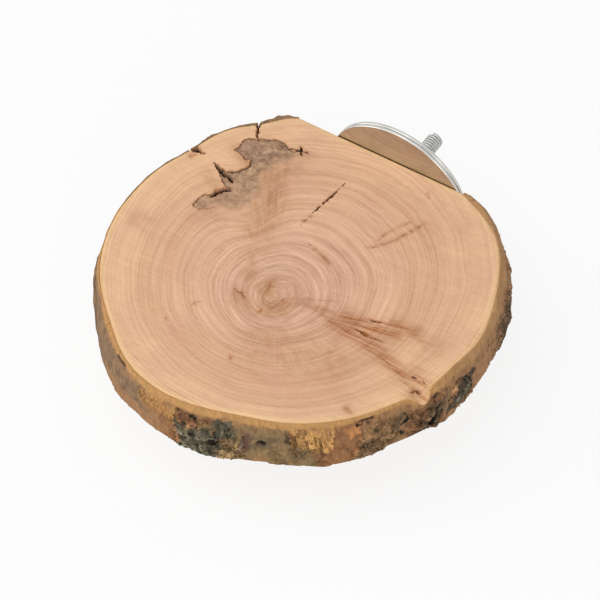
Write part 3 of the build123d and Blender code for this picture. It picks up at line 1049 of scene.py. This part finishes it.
def innerSpans(rows):
    order = sorted(innerNodes, key=lambda node: nodeMiddle(node)[0])
    inset = innerBark["spanInset"]
    marks = np.array([log["bottom"] + inset, innerBark["spanMiddle"], log["top"] - inset])
    spans = {}
    for node in order:
        tree = rayTree(node)
        found = np.array([angleSpan(tree, nodeMiddle(node)[0], height) for height in marks])
        spans[node] = [np.interp(rows, marks, found[:, 0]), np.interp(rows, marks, found[:, 1])]
    for seed, (before, after) in enumerate(zip(order, order[1:])):
        split = (spans[before][1] + spans[after][0]) / 2
        path = np.column_stack([np.zeros(len(rows)), np.full(len(rows), seed * 4.0), rows])
        split = split + innerBark["splitWander"] * lumpy(path, 4.0, 4, seed + 90) / log["radius"]
        gap = innerBark["woodSplitGap" if seed < innerBark["woodSplits"] else "splitGap"]
        gap = gap * np.clip(1 + 1.2 * lumpy(path, 2.0, 2, seed + 95), 0.15, 2.5) / log["radius"] / 2
        spans[before][1] = split - gap
        spans[after][0] = split + gap
    return spans


def pieceName(node):
    first, *rest = node.split("_")
    return first + "".join(word.capitalize() for word in rest)


def innerBarkPiece(node, spans, rows, material):
    bottom, top = log["bottom"], log["top"]
    starts, ends = spans
    width = (ends - starts).max() * log["radius"]
    columns = max(innerBark["leastColumns"], ceil(width / innerBark["columnStep"]))
    share = np.linspace(0, 1, columns)
    angles = starts[:, None] + (ends - starts)[:, None] * share
    ceiling = top - 1.1 * lipDip(angles, knotLip(angles))
    heights = bottom + (rows - bottom)[:, None] * (ceiling - bottom) / (top - bottom)
    radii = barkRadius(angles, heights)
    places = onLog(angles.ravel(), radii.ravel(), heights.ravel())
    jitter = edgeStray(places).reshape(angles.shape)
    rough = patchCover(roughPatches, angles, heights, jitter)
    pit = patchCover(pitPatches, angles, heights, jitter)
    margin = np.minimum(share, 1 - share)[None, :] * width
    calm = smooth(0.0, 0.8, margin) * smooth(0.2, 1.6, top - heights - 0.7 * shavedDepth(angles))
    lump = lumpy(places, innerBark["lumpSize"], 5, 33).reshape(angles.shape)
    fibre = lumpy(places * np.array([1, 1, 0.3]), innerBark["fibreSize"], 3, 34).reshape(angles.shape)
    vein = lumpy(places * np.array([1, 1, 0.45]), innerBark["fissureSize"], 3, 35).reshape(angles.shape)
    fissure = (1 - smooth(0.0, 0.09, np.abs(vein))) * (0.15 + 0.85 * rough)
    radii += calm * ((innerBark["lump"] + innerBark["roughLump"] * rough) * lump + innerBark["fibre"] * fibre)
    radii -= calm * innerBark["fissure"] * fissure + innerBark["pit"] * pit
    for middle, half, rise in humps:
        turn = np.mod(np.degrees(angles) - middle + 180, 360) - 180
        radii += rise * np.exp(-((turn / half) ** 2)) * (1 + lump) * smooth(0.0, 6.0, heights)
    swell = 1 - smooth(1.5, 8.0, ceiling - heights)
    least = innerBark["leastOnWood"] + (knotLip(angles) + 0.2 * lump) * swell
    radii = np.maximum(radii, woodRadius(angles) + least)
    radii -= smooth(0.9, 0.0, heights - bottom) * innerBark["bottomRound"] * (1 + 0.8 * lump)
    radii = np.maximum(radii, woodRadius(angles) + innerBark["leastAtFoot"])
    outer = onLog(angles.ravel(), radii.ravel(), heights.ravel())
    sink = innerBark["backSink"]
    backTop = onLog(angles[-1], woodRadius(angles[-1]) - sink, heights[-1] - innerBark["backDrop"])
    backLow = onLog(angles[0], woodRadius(angles[0]) - sink, bottom)
    points = np.vstack([outer, backTop, backLow])
    loops = np.arange(len(points)).reshape(-1, columns).T.tolist()
    faces = [loops[0], loops[-1][::-1], *loftFaces(loops)]
    tint = barkTint(angles, heights, jitter)
    # Painted shade in fissures, pits and the low parts of rough bark, carried by the hollow layer
    hollow = np.maximum(pit, calm * 0.8 * np.maximum(fissure, rough * smooth(0.3, 0.8, -lump)))
    behind = np.zeros(2 * columns)
    layers = {"tint": np.vstack([tint.reshape(-1, 4), tint[[-1, 0]].reshape(-1, 4)]),
              "hollow": np.concatenate([hollow.ravel(), behind]),
              "straw": np.concatenate([strawCover(angles, heights, jitter).ravel(), behind])}
    piece = meshPiece(pieceName(node), points, faces, material, layers, sharp=60)
    return settle(piece, "perch", "inner_bark", node)


def makeInnerBark():
    material = innerBarkMaterial()
    bottom, top = log["bottom"], log["top"]
    rows = np.linspace(bottom, top, ceil((top - bottom) / innerBark["rowStep"]) + 1)
    close = innerBark["edgeRow"]
    rows = np.concatenate([[bottom, bottom + close], rows[1:-1], [top - close, top - innerBark["belowTop"]]])
    return {node: innerBarkPiece(node, spans, rows, material) for node, spans in innerSpans(rows).items()}


innerPieces = makeInnerBark()
print("inner bark made", len(innerPieces))


# Outer bark: dry plates that thin out to nothing at ragged edges, with lumps of their own size

plates = {
    "outer_bark_shoulder": {"lump": 0.5, "size": 3.2, "crumbs": 0.3},
    "outer_bark_left": {"lump": 0.35, "size": 4.2, "crumbs": 0.0},
    "outer_bark_lichen": {"lump": 1.1, "size": 2.4, "crumbs": 1.0},
    "outer_bark_olive": {"lump": 0.3, "size": 5.0, "crumbs": 0.0},
    "outer_bark_straw": {"lump": 0.55, "size": 2.2, "crumbs": 0.0},
    "outer_bark_grey": {"lump": 0.65, "size": 3.2, "crumbs": 0.5},
    "outer_bark_knot": {"lump": 1.0, "size": 3.0, "crumbs": 0.6},
    "outer_bark_strip": {"lump": 1.0, "size": 2.6, "crumbs": 0.6},
    "outer_bark_right": {"lump": 0.8, "size": 3.0, "crumbs": 0.5},
}

plateGrid = {
    "step": 0.45,
    "leastAround": 110,
    "leastRings": 16,
    "searchReach": 1.5,  # times the log's radius
    "searchHalvings": 14,
    "spread": 1.1,
    "ragged": 0.3,  # share of a plate's reach that its edge strays
    "raggedSize": 4.5,
    "backSink": 0.7,
    "thickness": 0.95,
    "edgeFall": 1.5,
    "edgePower": 5,
    "stretch": 0.75,  # of the lumps, along z
    "strawStretch": 0.2,
    "lumpRise": 0.6,
    "ridgeRise": 0.35,
    # how strongly lumps and ridges are painted lighter on top and darker in their hollows
    "lumpShade": 0.75,
    "ridgeShade": 0.3,
    "pit": 1.5,
    "bottomRound": 0.6,
    "belowTop": 0.6,
}


def plateMaterial():
    material, tree, shader, place = newMaterial("dryOuterBark")
    tint = addNode(tree, "ShaderNodeAttribute", attribute_name="tint").outputs["Color"]
    relief = addNode(tree, "ShaderNodeAttribute", attribute_name="relief").outputs["Fac"]
    flecked = addNode(tree, "ShaderNodeAttribute", attribute_name="crumbs").outputs["Fac"]
    spread = addNode(tree, "ShaderNodeMapping", {"Vector": place, "Scale": (1.0, 1.0, 0.55)})
    grit = addNode(tree, "ShaderNodeTexNoise", {
        "Vector": spread, "Scale": perMetre(0.75), "Detail": 6.0, "Roughness": 0.75})
    # Painted light and shade: the relief layer lightens the plates' lumps and ridges and darkens their
    # hollows and pits; on crumbs it is their own random tone
    blend = addNode(tree, "ShaderNodeMath", {0: grit, 1: 1.3, 2: relief}, operation="MULTIPLY_ADD")
    tone = addNode(tree, "ShaderNodeValToRGB", {0: blend}, stops=[
        (0.12, "343434"), (0.42, "a0a0a0"), (0.66, "dcdcdc"), (1.0, "ffffff")])
    colour = addNode(tree, "ShaderNodeMix", {
        "Factor": 1.0, "A": tint, "B": tone}, data_type="RGBA", blend_type="MULTIPLY")
    lift = addNode(tree, "ShaderNodeMapRange", {
        "Value": blend, "From Min": 0.2, "From Max": 1.3, "To Min": 0.7, "To Max": 1.9})
    colour = addNode(tree, "ShaderNodeVectorMath", {0: colour, "Scale": lift}, operation="SCALE")
    flecks = addNode(tree, "ShaderNodeTexNoise", {
        "Vector": place, "Scale": perMetre(1.1), "Detail": 5.0, "Roughness": 0.7})
    flecks = addNode(tree, "ShaderNodeMapRange", {"Value": flecks, "From Min": 0.55, "From Max": 0.64})
    flecks = addNode(tree, "ShaderNodeMath", {0: flecks, 1: flecked}, operation="MULTIPLY", use_clamp=True)
    colour = addNode(tree, "ShaderNodeMix", {
        "Factor": flecks, "A": colour, "B": barkColours["crust"]}, data_type="RGBA")
    bump = addNode(tree, "ShaderNodeBump", {"Strength": 0.7, "Distance": 0.4 * mm, "Height": grit})
    setInputs(tree, shader, {
        "Base Color": colour, "Normal": bump, "Roughness": 0.85, "Specular IOR Level": 0.1})
    return material


def plateReach(tree, middle, height, way):
    good, missed = 0.0, plateGrid["searchReach"] * log["radius"]
    for _ in range(plateGrid["searchHalvings"]):
        reach = (good + missed) / 2
        angle = middle + way[0] * reach / log["radius"]
        if radiusOutside(tree, angle, height + way[1] * reach) is None:
            missed = reach
        else:
            good = reach
    return good


def outerBarkPlate(node, material, seed):
    look = plates[node]
    tree = rayTree(node)
    middle, height = nodeMiddle(node)
    girth = 4 * plateReach(tree, middle, height, (1, 0)) + 2 * (log["top"] - log["bottom"])
    around = max(plateGrid["leastAround"], ceil(girth / plateGrid["step"]))
    turns = np.arange(around) * 2 * pi / around
    ways = np.column_stack([np.cos(turns), np.sin(turns)])
    reaches = np.array([plateReach(tree, middle, height, way) for way in ways]) * plateGrid["spread"]
    edges = np.column_stack([ways * reaches[:, None], np.full(around, seed * 5.0)])
    stray = np.clip(0.5 + 0.8 * lumpy(edges, plateGrid["raggedSize"], 4, seed), 0, 1)
    reaches = reaches * (1 - plateGrid["ragged"] * stray)
    rings = max(plateGrid["leastRings"], ceil(np.median(reaches) / plateGrid["step"]))
    share = np.arange(1, rings + 1) / rings
    along, up = (np.concatenate([[0], np.outer(share, reaches * way).ravel()]) for way in ways.T)
    fill = np.concatenate([[0], np.repeat(share, around)])
    angles = middle + along / log["radius"]
    heights = np.clip(height + up, log["bottom"] + 0.02, log["top"] - plateGrid["belowTop"])
    seats = barkRadius(angles, heights)
    base = onLog(angles, seats, heights)
    stretch = np.array([1, 1, plateGrid["strawStretch" if node.endswith("straw") else "stretch"]])
    lump = lumpy(base * stretch, look["size"], 5, seed + 60)
    ridge = 1 - 2 * np.abs(lumpy(base * stretch, look["size"] * 1.7, 4, seed + 70))
    jitter = edgeStray(base)
    pit = patchCover(pitPatches, angles, heights, jitter)
    cover = 1.0 - plateGrid["edgeFall"] * fill ** plateGrid["edgePower"]
    relief = (plateGrid["lumpRise"] * lump + plateGrid["ridgeRise"] * ridge) * smooth(-0.6, 0.4, cover)
    radii = seats + plateGrid["thickness"] * cover + look["lump"] * relief - plateGrid["pit"] * pit
    radii -= plateGrid["bottomRound"] * smooth(log["bottom"] + 0.8, log["bottom"], heights)
    outer = onLog(angles, radii, heights)
    back = onLog(angles, np.minimum(seats - plateGrid["backSink"], radii - 0.05), heights)
    count = len(outer)
    lastRing = np.arange(1 + (rings - 1) * around, 1 + rings * around)
    points = np.vstack([outer, back[:1], back[lastRing]])
    faces = []
    for j in range(around):
        k = (j + 1) % around
        faces.append([0, 1 + j, 1 + k])
        for i in range(rings - 1):
            inside = 1 + i * around
            outside = inside + around
            faces.append([inside + j, outside + j, outside + k, inside + k])
        faces.append([int(lastRing[j]), count + 1 + j, count + 1 + k, int(lastRing[k])])
        faces.append([count, count + 1 + k, count + 1 + j])
    tint = barkTint(angles, heights, jitter)
    thick = smooth(0.0, 0.5, radii - seats)
    # Painted light and shade for the relief layer: lumps and ridges lighter, hollows and pits darker
    shade = plateGrid["lumpShade"] * lump + plateGrid["ridgeShade"] * ridge
    shade = look["lump"] * shade * thick - pit
    behind = np.zeros(around + 1)
    layers = {"tint": np.vstack([tint, tint[[0, *lastRing]]]),
              "relief": np.concatenate([shade, behind]),
              "straw": np.concatenate([thick * strawCover(angles, heights, jitter), behind]),
              "crumbs": np.concatenate([look["crumbs"] * thick * smooth(-0.3, 0.4, jitter), behind])}
    piece = meshPiece(pieceName(node), points, faces, material, layers)
    return settle(piece, "perch", "outer_bark", node)


dryBark = plateMaterial()
barkPlates = {node: outerBarkPlate(node, dryBark, seed) for seed, node in enumerate(plates)}
print("outer bark made", len(barkPlates))


# Crumbs of lichen on the plates, and torn straw as fibres and as flakes, scattered by Geometry Nodes

crumbs = {"perSquareMm": 5.0, "small": (0.12, 0.12, 0.084), "large": (0.48, 0.48, 0.336), "swing": pi,
          "tone": (-0.3, 0.2), "seed": 7}
fibres = {"perSquareMm": 3.5, "small": (0.4, 0.4, 0.4), "large": (1.2, 1.2, 1.0), "swing": 0.6,
          "tone": (-0.2, 0.3), "seed": 11}
flakes = {"perSquareMm": 2.4, "small": (0.9, 3.5, 0.4), "large": (1.8, 6.5, 1.0), "swing": 0.16,
          "tone": (-0.2, 0.3), "seed": 3}
straw = {"length": 2.2, "radius": 0.12, "taper": 0.8, "sides": 5, "hang": (0.1, 0.0, -1.0)}


def newGroup(name, sockets):
    tree = bpy.data.node_groups.new(name, "GeometryNodeTree")
    for label, kind in sockets.items():
        tree.interface.new_socket(label, in_out="INPUT", socket_type="NodeSocket" + kind)
    tree.interface.new_socket("Geometry", in_out="OUTPUT", socket_type="NodeSocketGeometry")
    return tree, addNode(tree, "NodeGroupInput").outputs


def endGroup(tree, shape, material):
    single = addNode(tree, "GeometryNodeRealizeInstances", {"Geometry": shape})
    done = addNode(tree, "GeometryNodeSetMaterial", {"Geometry": single, "Material": material})
    addNode(tree, "NodeGroupOutput", {"Geometry": done})
    return tree


def scatterTree(name, layer):
    tree, given = newGroup(name, {
        "Geometry": "Geometry", "Density": "Float", "Small": "Vector", "Large": "Vector", "Swing": "Float",
        "Darkest": "Float", "Palest": "Float", "Seed": "Int", "Material": "Material"})
    weight = addNode(tree, "GeometryNodeInputNamedAttribute", {"Name": layer}, data_type="FLOAT")
    density = addNode(tree, "ShaderNodeMath", {0: weight, 1: given["Density"]}, operation="MULTIPLY")
    spread = addNode(tree, "GeometryNodeDistributePointsOnFaces", {
        "Mesh": given["Geometry"], "Density": density, "Seed": given["Seed"]})
    back = addNode(tree, "ShaderNodeMath", {0: given["Swing"], 1: -1.0}, operation="MULTIPLY")
    twist, tone, size = (
        addNode(tree, "FunctionNodeRandomValue", {
            "Min": low, "Max": high, "Seed": given["Seed"]}, data_type=kind)
        for low, high, kind in ((back, given["Swing"], "FLOAT"), (given["Darkest"], given["Palest"], "FLOAT"),
                                (given["Small"], given["Large"], "FLOAT_VECTOR")))
    twist = addNode(tree, "ShaderNodeCombineXYZ", {"Z": twist})
    twist = addNode(tree, "FunctionNodeEulerToRotation", {"Euler": twist})
    facing = spread.outputs["Rotation"]
    if layer == "straw":
        facing = addNode(tree, "FunctionNodeAlignRotationToVector", {
            "Rotation": facing, "Vector": straw["hang"]}, axis="X", pivot_axis="Z")
        shape = addNode(tree, "GeometryNodeMeshCone", {
            "Vertices": straw["sides"], "Radius Top": straw["taper"] * straw["radius"] * mm,
            "Radius Bottom": straw["radius"] * mm, "Depth": straw["length"] * mm})
        shape = addNode(tree, "GeometryNodeTransform", {"Geometry": shape, "Rotation": (0.0, pi / 2, 0.0)})
    else:
        shape = addNode(tree, "GeometryNodeMeshIcoSphere", {"Radius": 1.0 * mm, "Subdivisions": 1})
    facing = addNode(tree, "FunctionNodeRotateRotation", {
        "Rotation": facing, "Rotate By": twist}, rotation_space="LOCAL")
    marked = addNode(tree, "GeometryNodeStoreNamedAttribute", {
        "Geometry": spread, "Name": "relief", "Value": tone}, data_type="FLOAT", domain="POINT")
    placed = addNode(tree, "GeometryNodeInstanceOnPoints", {
        "Points": marked, "Instance": shape, "Rotation": facing, "Scale": size})
    return endGroup(tree, placed, given["Material"])


def nodesToMesh(name, tree, values, base=None):
    carrier = bpy.data.objects.new(name, base or bpy.data.meshes.new(name))
    bpy.context.scene.collection.objects.link(carrier)
    modifier = carrier.modifiers.new("nodes", "NODES")
    modifier.node_group = tree
    for item in tree.interface.items_tree:
        if item.in_out == "INPUT" and item.name in values:
            modifier[item.identifier] = values[item.name]
    made = bpy.data.meshes.new_from_object(carrier.evaluated_get(bpy.context.evaluated_depsgraph_get()))
    carrier.modifiers.clear()
    carrier.data = made
    return carrier


def joined(pieces):
    with bpy.context.temp_override(active_object=pieces[0], selected_editable_objects=pieces):
        bpy.ops.object.join()
    return pieces[0]


def scattered(name, pieces, tree, look):
    made = [nodesToMesh(name, tree, {
        "Density": look["perSquareMm"] * perMetre(1) ** 2, "Small": look["small"], "Large": look["large"],
        "Swing": look["swing"], "Darkest": look["tone"][0], "Palest": look["tone"][1],
        "Seed": look["seed"] + i, "Material": dryBark}, piece.data) for i, piece in enumerate(pieces)]
    full = [piece for piece in made if len(piece.data.vertices)]
    for piece in made:
        if piece not in full:
            bpy.data.objects.remove(piece)
    piece = joined(full)
    spots = np.array([v.co for v in piece.data.vertices]) / mm
    piece.data.vertices.foreach_set("co", (keptInBox(spots) * mm).ravel())
    return settle(piece, "perch", "outer_bark")


lichenTree = scatterTree("lichenScatter", "crumbs")
strawTree = scatterTree("strawScatter", "straw")
torn = [barkPlates["outer_bark_straw"], innerPieces["inner_bark_front"]]
scatters = [
    scattered("lichenCrumbs", list(barkPlates.values()), lichenTree, crumbs),
    scattered("strawFibres", [innerPieces["inner_bark_front_left"]], strawTree, fibres),
    scattered("strawFlakes", torn, strawTree, flakes),
]
print("crumbs and straw made", *(len(piece.data.polygons) for piece in scatters))


# Ingrown bark: dark crumbs of dead bark that fill the seams

ingrownSeams = {
    "ingrown_bark_upper": "upperSeam",
    "ingrown_bark_middle": "tongueLow",
    "ingrown_bark_lower": "lobeTop",
}
ingrown = {
    "halfWidth": 0.42,
    "sunk": 0.6,
    "deep": 4.5,
    "crown": 0.12,
    "rough": 0.3,
    "belowTop": 0.15,
    "crumb": 0.7,
    "dark": "3a2c22",
    "middle": "6b5644",
    "pale": "9a8066",
}


def ingrownMaterial():
    material, tree, shader, place = newMaterial("deadIngrownBark")
    crumb = addNode(tree, "ShaderNodeTexNoise", {
        "Vector": place, "Scale": perMetre(ingrown["crumb"]), "Detail": 5.0, "Roughness": 0.7})
    colour = addNode(tree, "ShaderNodeValToRGB", {0: crumb}, stops=[
        (0.32, ingrown["dark"]), (0.5, ingrown["middle"]), (0.68, ingrown["pale"])])
    bump = addNode(tree, "ShaderNodeBump", {"Strength": 0.8, "Distance": 0.3 * mm, "Height": crumb})
    setInputs(tree, shader, {"Base Color": colour, "Normal": bump, "Roughness": 0.9})
    return material


def ingrownPiece(node, material, seed):
    seam = ingrownSeams[node]
    line = tracedLine(cuts[seam][0], slab["lineWander"], list(cuts).index(seam))
    side = lineNormals(line)
    share = np.linspace(0, 1, len(line))
    half = ingrown["halfWidth"] * np.sqrt(np.sin(pi * np.clip(share, 0.01, 0.99)))
    flat = np.column_stack([line, np.full(len(line), seed * 6.0)])
    half *= np.clip(0.8 + 0.9 * lumpy(flat, 1.5, 3, seed + 85), 0.2, 1.5)
    section = [(-1, -ingrown["deep"]), (-1, -0.5), (-0.6, 0.0), (0, ingrown["crown"]), (0.6, 0.0), (1, -0.5),
               (1, -ingrown["deep"])]
    level = log["top"] - ingrown["sunk"]
    rows = []
    for across, lift in section:
        spots = line + side * (half * across)[:, None]
        rows.append(np.column_stack([spots, np.full(len(line), level + lift)]))
    points = np.stack(rows, axis=1)
    rough = lumpy(points.reshape(-1, 3), 0.9, 4, seed + 80).reshape(points.shape[:2])
    points[:, 1:-1, 2] += ingrown["rough"] * rough[:, 1:-1]
    points[:, :, 2] = np.minimum(points[:, :, 2], log["top"] - ingrown["belowTop"])
    loops = np.arange(len(line) * len(section)).reshape(len(line), -1).tolist()
    faces = [loops[0][::-1], loops[-1], *loftFaces(loops)]
    piece = meshPiece(pieceName(node), points.reshape(-1, 3), faces, material)
    return settle(piece, "perch", "ingrown_bark", node)


deadBark = ingrownMaterial()
for seed, node in enumerate(ingrownSeams):
    ingrownPiece(node, deadBark, seed)
print("ingrown bark made")


# Clamp: bright zinc plate over pressed and turned steel, mirror-like with fine handling marks

brightZinc = {"name": "brightZincPlate", "face": "cecbc6", "shade": "c0beba", "scratch": 0.6,
              "roughMin": 0.05, "roughMax": 0.11}
threadZinc = {"name": "dullZincThread", "face": "cccdcb", "shade": "afb0af", "scratch": 0.6,
              "roughMin": 0.18, "roughMax": 0.3}


def zincMaterial(look):
    material, tree, shader, place = newMaterial(look["name"])
    spread = addNode(tree, "ShaderNodeMapping", {"Vector": place, "Scale": (1.0, 0.15, 1.0)})
    marks = addNode(tree, "ShaderNodeTexNoise", {
        "Vector": spread, "Scale": perMetre(look["scratch"]), "Detail": 5.0, "Roughness": 0.6})
    cloud = addNode(tree, "ShaderNodeTexNoise", {"Vector": place, "Scale": perMetre(7.0), "Detail": 3.0})
    colour = addNode(tree, "ShaderNodeValToRGB", {0: cloud}, stops=[
        (0.35, look["shade"]), (0.65, look["face"])])
    rough = addNode(tree, "ShaderNodeMapRange", {
        "Value": marks, "From Min": 0.3, "From Max": 0.7, "To Min": look["roughMin"],
        "To Max": look["roughMax"]})
    bump = addNode(tree, "ShaderNodeBump", {"Strength": 0.04, "Distance": 0.01 * mm, "Height": marks})
    setInputs(tree, shader, {"Base Color": colour, "Roughness": rough, "Metallic": 1.0, "Normal": bump})
    return material


def turned(name, profile, material, segments=144, sharp=35):
    points = []
    for i in range(segments):
        angle = 2 * pi * i / segments
        points += [(r * cos(angle), y, r * sin(angle)) for r, y in profile]
    loops = np.arange(len(points)).reshape(segments, -1).tolist()
    return meshPiece(name, points, loftFaces(loops, closed=True), material, sharp=sharp)


washer = {"hole": 3.3, "edge": 0.3, "burr": 0.12, "edgeSteps": 4}


def washerPiece(node, material):
    low, high = (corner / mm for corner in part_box(node))
    near, far, rim = low.y, high.y, high.x
    hole, burr, edge = (washer[key] for key in ("hole", "burr", "edge"))
    profile = [(hole + burr, near), (hole, near + burr), (hole, far - burr), (hole + burr, far)]
    turns = np.linspace(0, pi / 2, washer["edgeSteps"])
    profile += [(rim - edge + edge * sin(t), far - edge + edge * cos(t)) for t in turns]
    profile += [(rim - edge + edge * cos(t), near + edge - edge * sin(t)) for t in turns]
    piece = turned(pieceName(node), profile, material)
    return settle(piece, node, "zinc_steel", node)


zincPlate = zincMaterial(brightZinc)
for node in ("inner_washer", "outer_washer"):
    washerPiece(node, zincPlate)

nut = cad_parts["wing_nut"]
nut.data.materials.clear()
nut.data.materials.append(zincPlate)
print("washers and nut made")


# Hanger bolt: a turned core with a thread swept round it by Geometry Nodes

bolt = {
    "reach": 22.4,
    "seat": -1.5,
    "studRoot": 2.45,
    "studCrest": 3.0,
    "studPitch": 1.0,
    "studRunIn": 0.5,  # from the tip to the first thread
    "studRunOut": 0.6,
    "chamfer": 1.1,
    "tipFace": 0.9,  # the tip is this much smaller than the root
    "tipEdge": 0.35,
    "tipDrop": 0.25,
    "neck": 0.4,
    "screwEnd": -31.5,
    "screwRoot": 1.9,
    "screwCrest": 2.6,
    "screwPitch": 2.6,
    "screwPoint": 6.0,
    "screwRunIn": 1.5,
    "screwThread": 22.0,
    "axis": 0.001,  # the profile's ends stay just off the axis
}


def threadTree():
    tree, given = newGroup("sweptThread", {
        "Turns": "Float", "Radius": "Float", "Length": "Float", "Ridge": "Float", "Material": "Material"})
    helix = addNode(tree, "GeometryNodeCurveSpiral", {
        "Resolution": 48, "Rotations": given["Turns"], "Start Radius": given["Radius"],
        "End Radius": given["Radius"], "Height": given["Length"]})
    upright = addNode(tree, "GeometryNodeSetCurveNormal", {"Curve": helix}, mode="Z_UP")
    ridge = addNode(tree, "GeometryNodeCurvePrimitiveCircle", {"Resolution": 3, "Radius": given["Ridge"]})
    swept = addNode(tree, "GeometryNodeCurveToMesh", {
        "Curve": upright, "Profile Curve": ridge, "Fill Caps": True})
    return endGroup(tree, swept, given["Material"])


def hangerBolt(material):
    reach, seat, axis = (bolt[key] for key in ("reach", "seat", "axis"))
    root, screwRoot = bolt["studRoot"], bolt["screwRoot"]
    profile = [(axis, reach), (root - bolt["tipFace"], reach),
               (root - bolt["tipEdge"], reach - bolt["tipDrop"]), (root, reach - bolt["chamfer"]),
               (root, seat), (screwRoot, seat - bolt["neck"]),
               (screwRoot, bolt["screwEnd"] + bolt["screwPoint"]), (axis, bolt["screwEnd"])]
    pieces = [turned("hangerBolt", profile, material, segments=48)]
    tree = threadTree()
    for part, start, length in (("stud", reach - bolt["studRunIn"], reach - seat - bolt["studRunOut"]),
                                ("screw", seat - bolt["screwRunIn"], bolt["screwThread"])):
        ridge = bolt[part + "Crest"] - bolt[part + "Root"]
        thread = nodesToMesh(part + "Thread", tree, {
            "Turns": length / bolt[part + "Pitch"], "Radius": bolt[part + "Root"] * mm, "Length": length * mm,
            "Ridge": ridge * mm, "Material": material})
        lay = Matrix.Rotation(-pi / 2, 4, "X")  # the helix climbs along +Y
        thread.data.transform(Matrix.Translation((0, (start - length) * mm, 0)) @ lay)
        pieces.append(thread)
    return settle(joined(pieces), "perch", "zinc_steel", "hanger_bolt")


hangerBolt(zincMaterial(threadZinc))
print("hanger bolt made")
